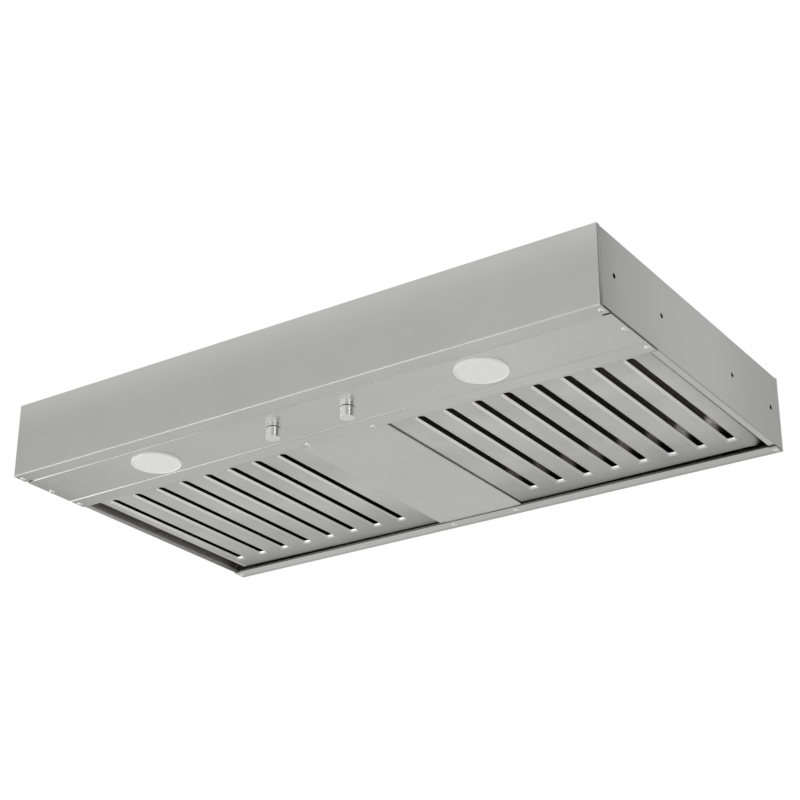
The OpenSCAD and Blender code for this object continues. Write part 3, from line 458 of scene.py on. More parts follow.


# %% Steel of the casing
# Painted light and shade: the tones lighten or darken each casing panel where the studio's light falls
# brighter or dimmer, and the wrap round the front corners is painted darker as shade.
STEEL = (0.60, 0.60, 0.595)
steel_across = brushed("brushed_steel_across", STEEL, "X", painted_light_stops=(
    ("X", [(-437, 1.12), (-370, 1.24), (-100, 1.2), (0, 1.15), (200, 1.13), (437, 1.07)]),
    ("Y", [(216, 1.0), (231, 1.0), (237, 0.78), (242, 0.78)]),
))
front_steel = brushed("front_steel", STEEL, "X", painted_light_stops=(
    ("Z", [(0, 1.03), (3, 0.96), (8, 0.935), (55, 0.935), (75, 0.99), (95, 1.08), (102, 1.09)]),
    ("X", [(-437, 0.94), (-370, 0.985), (-250, 1.0), (200, 0.995), (437, 1.01)]),
))
side_steel = brushed("side_steel", STEEL, "Y", painted_light_stops=(
    ("Y", [(-242, 0.66), (-225, 0.70), (-195, 0.81), (-140, 0.87), (-90, 0.93), (-20, 0.965), (50, 0.955),
           (95, 0.885), (150, 0.81), (195, 0.77), (242, 0.74)]),
))
wrap_shade_steel = brushed("wrap_shade_steel", (0.40, 0.40, 0.40), "Z", painted_light_stops=(
    ("Z", [(0, 0.55), (20, 0.72), (50, 1.0), (102, 1.02)]),
))
print("casing", steel_across.name, front_steel.name, side_steel.name, wrap_shade_steel.name)

# %% Steel of the underside
# Painted light and shade: the tones lighten and darken the underside, the filter faces darken towards their
# rear as painted shade, the outer rims and slot ends are painted highlights, and the side roll is painted
# lighter.
PLATE = (0.70, 0.70, 0.69)
plate_across = brushed("underside_steel", PLATE, "X", 0.30, painted_light_stops=(
    ("X", [(-437, 0.70), (-405, 0.83), (-370, 0.89), (-290, 0.965), (0, 1.01), (170, 1.04), (290, 1.08),
           (437, 1.0)]),
))
centre_steel = brushed("centre_steel", (0.725, 0.725, 0.712), "X")
filter_steel = brushed("filter_steel", (0.67, 0.67, 0.66), "X", 0.33, 0.12, painted_light_stops=(
    ("Y", [(-110, 0.98), (-50, 1.02), (60, 1.02), (105, 0.99), (140, 0.90), (170, 0.79), (185, 0.71),
           (200, 0.62), (212, 0.5)]),
))
rim_highlight_steel = brushed("rim_highlight_steel", (0.86, 0.86, 0.85), "Y", painted_light_stops=(
    ("Y", [(-110, 1.12), (0, 1.1), (80, 0.95), (140, 0.8), (200, 0.7)]),
))
end_steel = brushed("slot_end_painted_highlight", (0.96, 0.96, 0.95), "Y")
soft_end_steel = brushed("slot_end_soft_highlight", (0.66, 0.66, 0.65), "Y")
roll_brightened_steel = brushed("roll_brightened_steel", (0.68, 0.665, 0.64), "Y", 0.6, metallic=0.88)
print("underside", plate_across.name, centre_steel.name, filter_steel.name)

# %% Steel of lips and bends
# Painted light and shade: the lip, the hem and the fold lines carry painted light and painted highlight
# lines along their length, while the side bends, the lip's upstand and the edges are painted dark as shade.
lip_steel = brushed("lip_steel", (0.685, 0.685, 0.675), "X", painted_light_stops=(
    ("X", [(-437, 0.72), (-400, 0.877), (-360, 0.94), (-200, 1.0), (200, 1.01), (300, 1.07), (400, 0.995),
           (437, 0.99)]),
))
hem_steel = brushed("hem_steel", (0.62, 0.62, 0.61), "X", painted_light_stops=(
    ("X", [(-437, 1.4), (-400, 1.4), (-300, 1.16), (-200, 1.0), (0, 1.0), (100, 1.05), (200, 1.24),
           (300, 1.3), (437, 1.3)]),
))
line_steel = brushed("line_steel", PLATE, "X", painted_light_stops=(
    ("X", [(-437, 1.35), (-400, 1.3), (-300, 0.87), (-200, 0.82), (-100, 0.64), (0, 0.65), (100, 0.71),
           (200, 0.74), (300, 0.80), (437, 0.9)]),
))
bend_steel = brushed("bend_steel", (0.50, 0.50, 0.495), "Y", 0.45, painted_light_stops=(
    ("Y", [(-242, 0.1), (-218, 0.1), (-215, 0.4), (-112, 0.45), (-100, 1.0), (242, 1.0)]),
))
far_bend_steel = brushed("far_bend_steel", (0.50, 0.50, 0.495), "Y", 0.45, painted_light_stops=(
    ("Y", [(-242, 0.1), (-112, 0.14), (-100, 0.56), (0, 0.44), (80, 0.34), (160, 0.23), (200, 0.12),
           (242, 0.1)]),
))
upstand_steel = brushed("lip_upstand_steel", (0.55, 0.55, 0.54), "X", 0.5, metallic=0.2, painted_light_stops=(
    ("X", [(-437, 0.15), (-330, 0.3), (-240, 0.4), (200, 0.4), (300, 0.15), (437, 0.05)]),
))
edge_steel = brushed("painted_shade_edge", (0.07, 0.07, 0.07), "Y", 0.5)
print("bends", line_steel.name, bend_steel.name, far_bend_steel.name)

# %% [markdown]
# The flanges and walls behind the front lip and behind the filters are in shadow, and so are
# the baffles. That shadow is painted into the colour of the flanges and of the baffles,
# frames and hooks. Only one stretch of the right baffles catches light, and that light is
# painted into its colour.

# %% Steel inside
flange_steel = brushed("flange_steel", PLATE, "Y", painted_light_stops=(
    ("Y", [(-242, 0.06), (-110, 0.06), (-104, 1.0), (212, 1.0), (216, 0.06), (242, 0.06)]),
))
far_flange_steel = brushed("far_flange_steel", PLATE, "Y", painted_light_stops=(
    ("Y", [(-242, 0.06), (-110, 0.06), (-104, 0.64), (-80, 0.64), (0, 0.49), (80, 0.45), (160, 0.34),
           (200, 0.15), (242, 0.06)]),
))
wall_steel = brushed("inner_wall_steel", (0.62, 0.59, 0.56), "Y", 0.5)
inner_steel = brushed("inner_steel", (0.10, 0.098, 0.094), "Y", 0.42, 0.10)
back_steel = brushed("filter_back_steel", (0.55, 0.55, 0.54), "Y", 0.40, 0.08)
lit_steel = brushed("lit_baffle_steel", (0.62, 0.60, 0.57), "Y", 0.5, 0.3, metallic=0.6, painted_light_stops=(
    ("Y", [(-100, 0.16), (128, 0.16), (142, 1.0), (160, 1.0), (176, 0.16), (210, 0.16)]),
    ("X", [(90, 0.9), (310, 1.0), (345, 1.7), (410, 2.2)]),
))
print("inside", inner_steel.name, back_steel.name, lit_steel.name)

# %% [markdown]
# ### Galvanised sheet
# The sheets that the cabinet hides are galvanised. Their zinc freezes in crystals as wide
# as a fingernail, which a Voronoi texture with slightly bent cells draws well: each cell
# has its own grey and its own gloss.


# %% Galvanised sheet
def galvanised(name, colour, size):
    material, tree, shader = new_finish(name, colour, 0.85, 0.45)
    spangle = tree.nodes.new("ShaderNodeGroup")
    spangle.node_tree = SPANGLE
    spangle.inputs["Size"].default_value = size
    tree.links.new(object_coordinates(tree), spangle.inputs["Vector"])
    tinted(
        tree,
        shader,
        spangle.outputs["Crystal"],
        tuple(c * 0.86 for c in colour),
        tuple(min(1, c * 1.1) for c in colour),
    )
    tree.links.new(ranged(tree, spangle.outputs["Crystal"], 0.36, 0.54), shader.inputs["Roughness"])
    bumped(tree, shader, spangle.outputs["Cloud"], 0.1, 0.0004)
    return material


zinc_sheet = galvanised("galvanised_sheet", (0.56, 0.575, 0.58), 95.0)
wheel_sheet = galvanised("wheel_sheet", (0.46, 0.475, 0.48), 160.0)

# %% [markdown]
# ### Polished, plated, cast and moulded finishes
# The small pieces need little: a fine noise for the skin of the metal or the moulding, at
# the scale of tenths of a millimetre, and a true roughness. The lamps' rings and lenses,
# which are not lit, are given a faint painted glow that makes them paler.


# %% Polished, plated, cast and moulded finishes
def plain_metal(name, colour, roughness, fine=1800.0, strength=0.05):
    material, tree, shader = new_finish(name, colour, 1.0, roughness)
    noise = tree.nodes.new("ShaderNodeTexNoise")
    noise.inputs["Scale"].default_value = fine
    noise.inputs["Detail"].default_value = 2
    tree.links.new(object_coordinates(tree), noise.inputs["Vector"])
    rough = ranged(tree, noise.outputs["Fac"], roughness * 0.8, roughness * 1.25)
    tree.links.new(rough, shader.inputs["Roughness"])
    tinted(tree, shader, noise.outputs["Fac"], tuple(c * 0.96 for c in colour), colour)
    bumped(tree, shader, noise.outputs["Fac"], strength, 0.0001)
    return material


def moulded(name, colour, roughness, fine=1400.0, strength=0.12):
    material, tree, shader = new_finish(name, colour, 0.0, roughness)
    noise = tree.nodes.new("ShaderNodeTexNoise")
    noise.inputs["Scale"].default_value = fine
    noise.inputs["Detail"].default_value = 3
    tree.links.new(object_coordinates(tree), noise.inputs["Vector"])
    rough = ranged(tree, noise.outputs["Fac"], roughness - 0.07, roughness + 0.07)
    tree.links.new(rough, shader.inputs["Roughness"])
    tinted(tree, shader, noise.outputs["Fac"], tuple(c * 0.92 for c in colour), colour)
    bumped(tree, shader, noise.outputs["Fac"], strength, 0.00012)
    return material


polished = plain_metal("polished_steel", (0.94, 0.94, 0.94), 0.14)
plated = plain_metal("zinc_plating", (0.66, 0.67, 0.66), 0.3, 900.0, 0.1)
cast = plain_metal("cast_aluminium", (0.62, 0.63, 0.64), 0.45, 700.0, 0.25)
black_enamel = moulded("black_enamel", (0.025, 0.025, 0.027), 0.35, 300.0, 0.06)
black_moulding = moulded("black_moulding", (0.03, 0.03, 0.032), 0.5)
white_moulding = moulded("white_moulding", (0.74, 0.74, 0.72), 0.45)
rubber = moulded("black_rubber", (0.02, 0.02, 0.02), 0.75, 900.0, 0.2)
ring_white = moulded("white_ring", (0.97, 0.97, 0.965), 0.3, 600.0, 0.04)
lens_white = moulded("frosted_lens", (0.97, 0.97, 0.965), 0.4, 900.0, 0.1)
# Painted glow: the unlit rings and lenses emit a little light.
for white, painted_glow in ((ring_white, 0.09), (lens_white, 0.045)):
    shader = white.node_tree.nodes["Principled BSDF"]
    shader.inputs["Emission Color"].default_value = (1, 1, 1, 1)
    shader.inputs["Emission Strength"].default_value = painted_glow
print("materials", len(bpy.data.materials))

# %% [markdown]
# ## Which finish goes on which node
# What shows is brushed or polished. What the cabinet hides is galvanised, plated, cast or
# moulded, as in a real hood.

# %% Finishes by node
FINISHES = {
    front_steel: ["front_panel"],
    steel_across: ["rear_panel"],
    side_steel: ["left_side_panel", "right_side_panel"],
    plate_across: ["control_panel", "filter_rail"],
    centre_steel: ["centre_panel"],
    filter_steel: ["left_filter_face", "right_filter_face"],
    inner_steel: [f"{s}_filter_{k}" for s in ("left", "right") for k in ("baffles", "frame", "hooks")],
    zinc_sheet: [
        "top_panel", "compartment_wall", "corner_brackets", "blower_box", "blower_box_ends",
        "scroll_wrap", "scroll_left_side", "scroll_right_side", "motor_mount", "duct_collar",
        "front_damper", "rear_damper", "junction_box", "junction_cover",
    ],
    wheel_sheet: ["blower_wheel"],
    polished: ["light_knob", "fan_knob", "underside_screws"],
    plated: [
        "light_shaft", "fan_shaft", "motor_shaft", "damper_pin", "top_screws", "box_screws",
        "switch_nuts", "filter_catches", "lamp_clips",
    ],
    cast: ["left_lamp_body", "right_lamp_body", "motor_capacitor", "wheel_hub"],
    black_enamel: ["motor"],
    black_moulding: ["light_switch", "fan_switch", "cable_bushing"],
    white_moulding: ["lamp_driver", "terminal_block"],
    rubber: ["wire_grommet"],
    ring_white: ["left_lamp_ring", "right_lamp_ring"],
    lens_white: ["left_lamp_lens", "right_lamp_lens"],
}
for look, names in FINISHES.items():
    for name in names:
        nodes[name].data.materials.clear()
        nodes[name].data.materials.append(look)
left_out = set(nodes) - {name for names in FINISHES.values() for name in names}
print("nodes without a finish:", sorted(left_out))

# %% [markdown]
# ## Smooth bends
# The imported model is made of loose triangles. A copy of each bent or rolled sheet gets its
# triangles joined, and then shades smoothly across the bends, while every edge sharper
# than the chosen angle stays crisp. Weighted normals keep the large flats flat.

# %% Helpers for pieces
LOOK_OF = {name: look for look, names in FINISHES.items() for name in names}
MERGE_COPIED, MERGE_TURNED = 0.000005, 0.000002
BEND_DEGREES, FLAT_WEIGHT = 35, 90


def picked(piece):
    """Selects one piece alone and makes it active, ready for an operator."""
    bpy.ops.object.select_all(action="DESELECT")
    piece.select_set(True)
    bpy.context.view_layer.objects.active = piece
    return piece


def modified(piece, kind, **settings):
    picked(piece)
    bpy.ops.object.modifier_add(type=kind)
    step = piece.modifiers[-1]
    for label, value in settings.items():
        setattr(step, label, value)
    bpy.ops.object.modifier_apply(modifier=step.name)


def cleaned(piece, distance, outward=False):
    picked(piece)
    bpy.ops.object.mode_set(mode="EDIT")
    bpy.ops.mesh.select_all(action="SELECT")
    bpy.ops.mesh.remove_doubles(threshold=distance)
    if outward:
        bpy.ops.mesh.normals_make_consistent(inside=False)
    bpy.ops.object.mode_set(mode="OBJECT")


def smoothed(piece, degrees):
    picked(piece)
    bpy.ops.object.shade_smooth_by_angle(angle=math.radians(degrees))
    modified(piece, "WEIGHTED_NORMAL", keep_sharp=True, weight=FLAT_WEIGHT)


def stands_in(piece, name):
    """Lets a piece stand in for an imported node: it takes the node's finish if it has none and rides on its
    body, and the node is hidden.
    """
    look = LOOK_OF[name]
    if not piece.data.materials:
        piece.data.materials.append(look)
    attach(piece, nodes[name]["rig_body"])
    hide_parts(name)


def loose_copy(name, label):
    """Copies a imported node, merges the copy's triangles and frees it from the frame."""
    picked(nodes[name])
    bpy.ops.object.duplicate()
    copy = bpy.context.object
    copy.name = label
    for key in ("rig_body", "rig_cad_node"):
        if key in copy:
            del copy[key]
    bpy.ops.object.parent_clear(type="CLEAR_KEEP_TRANSFORM")
    bpy.ops.object.transform_apply(location=True, rotation=True, scale=True)
    cleaned(copy, MERGE_COPIED)
    return copy


def bent_sheet(name):
    sheet = loose_copy(name, name + "_bent")
    smoothed(sheet, BEND_DEGREES)
    stands_in(sheet, name)
    return sheet


# %% Panels and other smooth pieces
SMOOTH = [
    "front_panel", "rear_panel", "left_side_panel", "right_side_panel", "control_panel",
    "filter_rail", "centre_panel", "left_filter_baffles", "right_filter_baffles",
    "left_filter_frame", "right_filter_frame", "blower_box", "scroll_wrap", "duct_collar",
    "blower_wheel", "wheel_hub", "motor", "motor_capacitor", "cable_bushing", "wire_grommet",
    "left_lamp_body", "right_lamp_body", "lamp_clips",
]
bent = {name: bent_sheet(name) for name in SMOOTH}
print("smooth pieces", len(bent))

# %% [markdown]
# ## Pressed filter faces
# The filter's face is one pressing. Its rear edge turns up in a bend that opens towards
# the outer side, the rims of its slots are drawn a little wider than their plain outline,
# and each slot runs on a little at the rear. A face could be pressed anew from a flat
# sheet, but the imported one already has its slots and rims, so the points of a merged copy
# are moved to those places.

# %% Shape of the pressing
SLOT_FIRST, SLOT_PITCH, SLOT_COUNT = 106.7, 41.0, 8
SLOT_CORE, RIM_IN, RIM_OUT = 2.4, 1.6, 8.69
SLOT_ENDS = (-92.91, 171.41)
SLOT_FIELD = (-102, 181)
RIM_GROWS, SLOT_RUNS_ON = 0.9, 5.0
PLATE_Z, REAR_Y, WALL = 3.4, 215.1, 0.8
OLD_BEND_Y, OLD_BEND_TOP = 188.0, 14.4
OLD_BEND_SIZE, OLD_BEND_MIDDLE = (27.0, 11.0), 0.972
BEND_X, BEND_RADII = (66.7, 425.0), (1.3, 7.0)
CLOSE = 0.1


def is_outer_skin(y, z):
    """Says whether a point of the old bend lies on its outer side."""
    across = (y - OLD_BEND_Y - CLOSE) / OLD_BEND_SIZE[0]
    down = (OLD_BEND_TOP - min(z, OLD_BEND_TOP)) / OLD_BEND_SIZE[1]
    return across * across + down * down > OLD_BEND_MIDDLE


def bent_tighter(x, y, z):
    wall = 0.0 if is_outer_skin(y, z) else WALL
    share = (x - BEND_X[0]) / (BEND_X[1] - BEND_X[0])
    radius = BEND_RADII[0] + share * (BEND_RADII[1] - BEND_RADII[0])
    bend = radius - wall
    rise = min(bend, max(0.0, PLATE_Z + radius - z))
    return REAR_Y - radius + math.sqrt(bend ** 2 - rise ** 2)


def drawn_wider(x, y):
    slot = min(SLOT_COUNT - 1, max(0, round((x - SLOT_FIRST) / SLOT_PITCH)))
    centre = SLOT_FIRST + slot * SLOT_PITCH
    out_x = max(0.0, abs(x - centre) - SLOT_CORE)
    out_y = max(0.0, y - SLOT_ENDS[1], SLOT_ENDS[0] - y)
    out = math.hypot(out_x, out_y)
    if not 0 < out < RIM_OUT + CLOSE or y <= SLOT_FIELD[0]:
        return x, y
    grow = RIM_GROWS * max(0.0, (RIM_OUT - out) / (RIM_OUT - RIM_IN)) / out
    runs_on = SLOT_RUNS_ON if y > SLOT_ENDS[1] - CLOSE / 2 else 0.0
    return (
        x + math.copysign(out_x * grow, x - centre),
        y + math.copysign(out_y * grow, y) + runs_on,
    )


print("bend radii", BEND_RADII, "slots", SLOT_COUNT)

# %% Filter faces
for name, side in (("left_filter_face", -1), ("right_filter_face", 1)):
    face = loose_copy(name, name + "_pressed")
    for spot in face.data.vertices:
        x, y, z = spot.co.x / MM * side, spot.co.y / MM, spot.co.z / MM
        if y > OLD_BEND_Y:
            y = bent_tighter(x, y, z)
        elif y < SLOT_FIELD[1]:
            x, y = drawn_wider(x, y)
        spot.co = (x * side * MM, y * MM, z * MM)
    face.data.update()
    smoothed(face, BEND_DEGREES)
    stands_in(face, name)
    bent[name] = face
print("filter faces", [round(c, 4) for c in bent["left_filter_face"].bound_box[6]])

# %% [markdown]
# ## Finishes by face
# The bends, cut edges and hidden flanges of a panel catch the light differently from its
# flats, so those faces get finishes of their own, with painted light, painted highlights
# and painted shade. They could be painted by hand, but a face is as easily chosen by where
# its centre lies and by where it looks.


# %% Helper for finishes by face
def finish_faces(piece, look, chosen):
    """Gives a finish to the faces that chosen(centre in millimetres, normal) picks."""
    piece.data.materials.append(look)
    place = len(piece.data.materials) - 1
    count = 0
    for face in piece.data.polygons:
        if chosen(face.center / MM, face.normal):
            face.material_index = place
            count += 1
    return count


SIDE_X = 436.5
FLANGE_Z, HEM_Z, EDGE_Z, LINE_Z, LIP_Z = 3.2, 3.0, 1.5, 1.4, 1.2
FLAT, UPRIGHT, CREASE = 0.95, 0.9, 0.05
print("side faces at", SIDE_X)

# %% Side panels
SKIN, NOT_CREASED = 0.9, 0.995
# Painted shade: the bottom bends and the flanges of the side panels are painted dark where shade falls on
# them.
for name, bend, flange in (
    ("left_side_panel", far_bend_steel, far_flange_steel),
    ("right_side_panel", bend_steel, flange_steel),
):
    panel = bent[name]
    print(name, [
        finish_faces(panel, wall_steel, lambda c, n: abs(c[0]) < SIDE_X - SKIN and abs(n[0]) > UPRIGHT),
        finish_faces(panel, bend, lambda c, n: c[2] < FLANGE_Z and CREASE < abs(n[0]) < NOT_CREASED),
        finish_faces(panel, flange, lambda c, n: c[2] < FLANGE_Z and abs(n[2]) > FLAT),
    ])

# %% Front lip, its hem and the folds behind it
# Painted light and shade: the wrap round the corner is painted darker, and the lip, the hem and the folds
# carry painted light and painted highlight lines.
WRAP_SKIN, FRONT_LIP_Y = 0.3, -225
FOLD = (0.06, 0.98)
print("front", [
    finish_faces(
        bent["front_panel"], wrap_shade_steel,
        lambda c, n: abs(n[0]) > UPRIGHT and abs(c[0]) > SIDE_X - WRAP_SKIN and c[2] > EDGE_Z,
    ),
    finish_faces(bent["front_panel"], lip_steel, lambda c, n: c[2] < LIP_Z and n[2] < -FLAT),
    finish_faces(
        bent["front_panel"], hem_steel,
        lambda c, n: c[2] < HEM_Z and c[1] < FRONT_LIP_Y and -FLAT <= n[2] < -CREASE,
    ),
])
for name in ("front_panel", "control_panel", "filter_rail"):
    print(name, "folds", finish_faces(
        bent[name], line_steel,
        lambda c, n: c[2] < LINE_Z and c[1] > FRONT_LIP_Y
        and FOLD[0] < abs(n[1]) < FOLD[1] and n[2] < -CREASE,
    ))

# %% [markdown]
# Two seams lie in shade: the gap in front of the rear lip, where the lip's edge turns up,
# and the right side of the centre panel. That shade is painted dark into their faces.

# %% Dark seams
UPSTAND_Y, UPSTAND_TOP, LIP_FOLD_Y = 218, 30, 219.5
HALF_WAY, CENTRE_SIDE = 0.5, (50, 5, 0.75, 0.1)
print("seams", [
    finish_faces(
        bent["rear_panel"], upstand_steel,
        lambda c, n: c[1] < UPSTAND_Y and 0 < c[2] < UPSTAND_TOP and n[1] < -FLAT,
    ),
    finish_faces(
        bent["rear_panel"], edge_steel,
        lambda c, n: c[1] < LIP_FOLD_Y and c[2] < HEM_Z and -FLAT < n[1] < -HALF_WAY,
    ),
    finish_faces(
        bent["centre_panel"], edge_steel,
        lambda c, n: c[0] > CENTRE_SIDE[0] and c[2] < CENTRE_SIDE[1]
        and n[0] > CENTRE_SIDE[2] and n[2] < CENTRE_SIDE[3],
    ),
])

# %% Baffles and frames of the filters
FACES_UP, NOT_UP = 0.3, 0.2
# Painted light: the lower faces of the right baffles carry the painted light of one lit stretch.
print("lit baffles", finish_faces(bent["right_filter_baffles"], lit_steel, lambda c, n: n[2] < NOT_UP))
for name in ("left_filter_baffles", "right_filter_baffles", "left_filter_frame", "right_filter_frame"):
    print(name, "backs", finish_faces(bent[name], back_steel, lambda c, n: n[2] > FACES_UP))

# %% Rims, slot ends and side rolls of the filters
SLOT_FIELD_X, SLOT_REAR_Y = (92, 409), (165, 190)
DOWN, STEEP, SLIGHT, ROLL = 0.2, 0.45, 0.15, 0.12


def at_slot_rear(c, n):
    return SLOT_REAR_Y[0] < c[1] < SLOT_REAR_Y[1] and n[2] < -DOWN


def on_outer_rim(c, n):
    in_field = SLOT_FIELD_X[0] < abs(c[0]) < SLOT_FIELD_X[1]
    return in_field and n[0] > HALF_WAY and n[2] < -DOWN and abs(n[1]) < HALF_WAY


# Painted highlights on the outer rims and the slot ends, and painted light on the left side roll.
for name in ("left_filter_face", "right_filter_face"):
    face = bent[name]
    print(name, [
        finish_faces(face, rim_highlight_steel, on_outer_rim),
        finish_faces(face, soft_end_steel, lambda c, n: at_slot_rear(c, n) and -STEEP < n[1] < -SLIGHT),
        finish_faces(face, end_steel, lambda c, n: at_slot_rear(c, n) and n[1] < -STEEP),
        finish_faces(face, roll_brightened_steel, lambda c, n: c[0] < -SLOT_FIELD_X[1] and abs(n[0]) > ROLL),
    ])

# %% Sheared ends, painted dark as shade
for name in ("front_panel", "rear_panel", "control_panel", "filter_rail"):
    print(name, "ends", finish_faces(
        bent[name], edge_steel,
        lambda c, n: abs(n[0]) > UPRIGHT and abs(c[0]) > SIDE_X - EDGE_Z and c[2] < EDGE_Z,
    ))

# %% [markdown]
# ## Turned pieces
# Lamps, knobs and screws are turned shapes. A cylinder with bevels would come near, but
# an outline of radius and height, spun round the axis, gives every step and lip at once.
# The outline is drawn by extruding one point along it, in millimetres, and its corners
# are eased first, because small curves there catch the light.


# %% Helpers for turned pieces
def eased(outline, radius, steps=4):
    """Rounds the corners of an outline with small curves of a few points each."""
    points = []
    for i, corner in enumerate(outline):
        before, after = outline[i - 1], outline[(i + 1) % len(outline)]
        here = Vector(corner)
        for_back, for_on = Vector(before) - here, Vector(after) - here
        reach = min(radius, for_back.length / 2.5, for_on.length / 2.5)
        if corner[0] == 0 or reach < 0.01:
            points.append(tuple(corner))
            continue
        a, b = here + for_back.normalized() * reach, here + for_on.normalized() * reach
        for k in range(steps + 1):
            t = k / steps
            points.append(tuple(a * (1 - t) ** 2 + here * 2 * t * (1 - t) + b * t ** 2))
    return points


def outline_drawn(label, outline, closed):
    """Extrudes a point along an outline in the plane of X and Z."""
    bpy.ops.object.select_all(action="DESELECT")
    bpy.ops.mesh.primitive_plane_add(size=1, location=(0, 0, 0))
    piece = bpy.context.object
    piece.name = label
    bpy.ops.object.mode_set(mode="EDIT")
    bpy.ops.mesh.select_all(action="SELECT")
    bpy.ops.mesh.merge(type="CENTER")
    bpy.ops.transform.translate(value=(outline[0][0] * MM, 0, outline[0][1] * MM))
    for (r, z), (next_r, next_z) in zip(outline, outline[1:]):
        step = ((next_r - r) * MM, 0, (next_z - z) * MM)
        bpy.ops.mesh.extrude_vertices_move(TRANSFORM_OT_translate={"value": step})
    if closed:
        bpy.ops.mesh.extrude_vertices_move(TRANSFORM_OT_translate={
            "value": ((outline[0][0] - outline[-1][0]) * MM, 0, (outline[0][1] - outline[-1][1]) * MM),
        })
    bpy.ops.mesh.select_all(action="SELECT")
    return piece


def turned(label, outline, closed, steps=96):
    piece = outline_drawn(label, outline, closed)
    bpy.ops.mesh.spin(steps=steps, angle=math.tau, center=(0, 0, 0), axis=(0, 0, 1))
    bpy.ops.object.mode_set(mode="OBJECT")
    cleaned(piece, MERGE_TURNED, outward=True)
    return piece


# %% Helpers for placing and cutting
def moved(piece, place, turn=(0, 0, 0)):
    """Moves and turns a piece, and leaves its place in its mesh."""
    picked(piece)
    piece.location = place
    piece.rotation_euler = turn
    bpy.ops.object.transform_apply(location=True, rotation=True, scale=True)
    return piece


def cut_with(piece, cutter):
    """Takes the cutter's shape out of a piece. The cut keeps the cutter's finish."""
    modified(piece, "BOOLEAN", operation="DIFFERENCE", object=cutter, solver="EXACT")
    picked(cutter)
    bpy.ops.object.delete()


def block(size, place, turn=0.0):
    bpy.ops.object.select_all(action="DESELECT")
    bpy.ops.mesh.primitive_cube_add(size=1, location=(0, 0, 0))
    piece = bpy.context.object
    piece.scale = [v * MM for v in size]
    bpy.ops.object.transform_apply(location=False, rotation=False, scale=True)
    return moved(piece, place, (0, 0, turn))


# %% [markdown]
# The front lip and the control panel are notched where they meet the sides, so that the
# press brake's fold has room to end. Each notch shows as a short black slit.

# %% Relief slits
SLIT = (13.0, 1.4, 2.0)
SLIT_PLACE = (431.2, -216.5, 0.2)
for name in ("front_panel", "control_panel"):
    for side in (-1, 1):
        place = (side * SLIT_PLACE[0] * MM, SLIT_PLACE[1] * MM, SLIT_PLACE[2] * MM)
        cut_with(bent[name], block(SLIT, place))
print("slits", len(bent["control_panel"].data.polygons))

# %% [markdown]
# ## Lamps
# A lamp has a white ring that holds a frosted lens a little below its face. The ring has
# one notch, where a screwdriver lifts it out. The notch's cut faces are painted black as the
# shade inside it.

# %% Lamps
RING = [
    (27.05, 12), (28.25, 12), (28.25, 0), (32.25, 0), (32.25, -2.9), (31.7, -3.5), (31.0, -3.5),
    (30.15, -2.9), (30.15, -0.9), (27.05, -0.9),
]
LENS = [(0, -1.2), (29.85, -1.2), (29.85, -1.9), (29.2, -2.25), (26, -2.45), (15, -2.7), (0, -2.8)]
NOTCH = (3.4, 7.5, 1.9)
NOTCH_RADIUS, NOTCH_Z = 31.4, -1.0
NOTCH_ANGLE = math.radians(30)
notch_place = (
    math.cos(NOTCH_ANGLE) * NOTCH_RADIUS * MM, math.sin(NOTCH_ANGLE) * NOTCH_RADIUS * MM, NOTCH_Z * MM,
)
for name in ("left", "right"):
    low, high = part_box(name + "_lamp_ring")
    middle = ((low[0] + high[0]) / 2, (low[1] + high[1]) / 2, 0)
    ring = turned(name + "_lamp_bezel", eased(RING, 0.5), True)
    ring.data.materials.append(ring_white)
    notch = block(NOTCH, notch_place, NOTCH_ANGLE)
    # Painted shade: the notch's faces take this black finish.
    notch.data.materials.append(black_moulding)
    cut_with(ring, notch)
    smoothed(ring, degrees=32)
    stands_in(moved(ring, middle), name + "_lamp_ring")
    lens = turned(name + "_lamp_glass", eased(LENS, 0.4), False)
    smoothed(lens, degrees=32)
    stands_in(moved(lens, middle), name + "_lamp_lens")
print("lamps at", [round(v, 4) for v in middle])

# %% [markdown]
# ## Knobs
# The knobs are plain polished caps, and each has a hollow that fits over its shaft. Their
# look is all in the rounding of the rim and in what the polish reflects.

# %% Knobs
KNOB = [
    (0, -13.5), (9.25, -13.5), (9.25, -0.5), (8.6, -0.5), (7.0, -0.5), (7.0, -4.5), (3.05, -4.5),
    (3.05, -11.5), (0, -11.5),
]
for name in ("light_knob", "fan_knob"):
    low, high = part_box(name)
    knob = turned(name + "_turned", eased(KNOB, 0.7, 5), False)
    smoothed(knob, degrees=40)
    stands_in(moved(knob, ((low[0] + high[0]) / 2, (low[1] + high[1]) / 2, 0)), name)

# %% [markdown]
# ## Screws
# One pan-head screw with a cross recess is made, and a copy goes to the place of each
# screw of the imported model. The faces of the recess are painted black as the shade inside it.


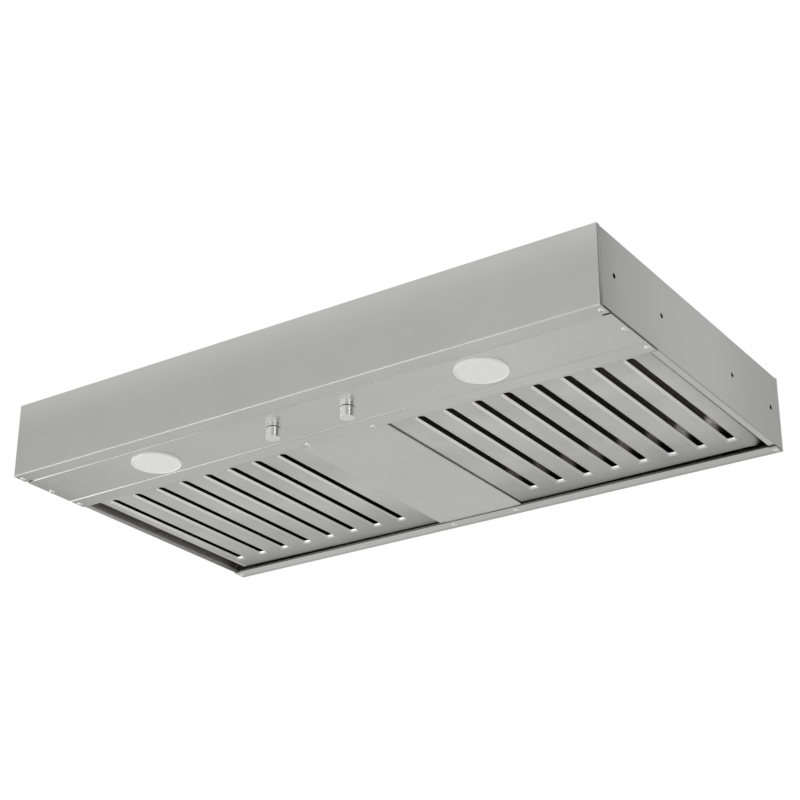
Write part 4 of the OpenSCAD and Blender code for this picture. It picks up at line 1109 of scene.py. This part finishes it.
# %% Screws
SCREW = [
    (0, -1.6), (1.6, -1.58), (2.7, -1.42), (3.5, -1.0), (3.9, -0.45), (4.0, 0), (1.5, 0),
    (1.5, 6.2), (0.5, 7.0), (0, 7.0),
]
HEAD_HEIGHT = 1.6
RECESS, RECESS_Z = (4.4, 1.15, 1.3), -1.25
QUARTER, RECESS_TURN, NEXT_TURN = math.radians(90), math.radians(36), math.radians(37)


def pan_head():
    screw = turned("screw", SCREW, False, 40)
    screw.data.materials.append(polished)
    for turn in (RECESS_TURN, RECESS_TURN + QUARTER):
        cross = block(RECESS, (0, 0, RECESS_Z * MM), turn)
        # Painted shade: the recess faces take this black finish.
        cross.data.materials.append(black_enamel)
        cut_with(screw, cross)
    smoothed(screw, BEND_DEGREES)
    return screw


def screw_places(name):
    """Finds the middle, foot and head of each screw of a packed group."""
    group = loose_copy(name, name + "_marks")
    picked(group)
    bpy.ops.object.mode_set(mode="EDIT")
    bpy.ops.mesh.select_all(action="SELECT")
    bpy.ops.mesh.separate(type="LOOSE")
    bpy.ops.object.mode_set(mode="OBJECT")
    places = []
    for mark in list(bpy.context.selected_objects):
        spots = [mark.matrix_world @ v.co for v in mark.data.vertices]
        low = [min(p[k] for p in spots) for k in range(3)]
        high = [max(p[k] for p in spots) for k in range(3)]
        places.append(((low[0] + high[0]) / 2, (low[1] + high[1]) / 2, low[2], high[2]))
    bpy.ops.object.delete()
    return sorted(places)


def screw_set(name, heads_up):
    made = []
    pattern = pan_head()
    for x, y, low, high in screw_places(name):
        picked(pattern)
        bpy.ops.object.duplicate()
        turn = NEXT_TURN * len(made)
        if heads_up:
            made.append(moved(bpy.context.object, (x, y, high - HEAD_HEIGHT * MM), (math.pi, 0, turn)))
        else:
            made.append(moved(bpy.context.object, (x, y, low + HEAD_HEIGHT * MM), (0, 0, turn)))
    picked(pattern)
    bpy.ops.object.delete()
    bpy.ops.object.select_all(action="DESELECT")
    for screw in made:
        screw.select_set(True)
    bpy.context.view_layer.objects.active = made[0]
    bpy.ops.object.join()
    screws = bpy.context.object
    screws.name = name + "_pan_head"
    bpy.ops.object.transform_apply(location=True, rotation=True, scale=True)
    stands_in(screws, name)
    return len(made)


for name, heads_up in (("underside_screws", False), ("top_screws", True), ("box_screws", True)):
    print(name, screw_set(name, heads_up))
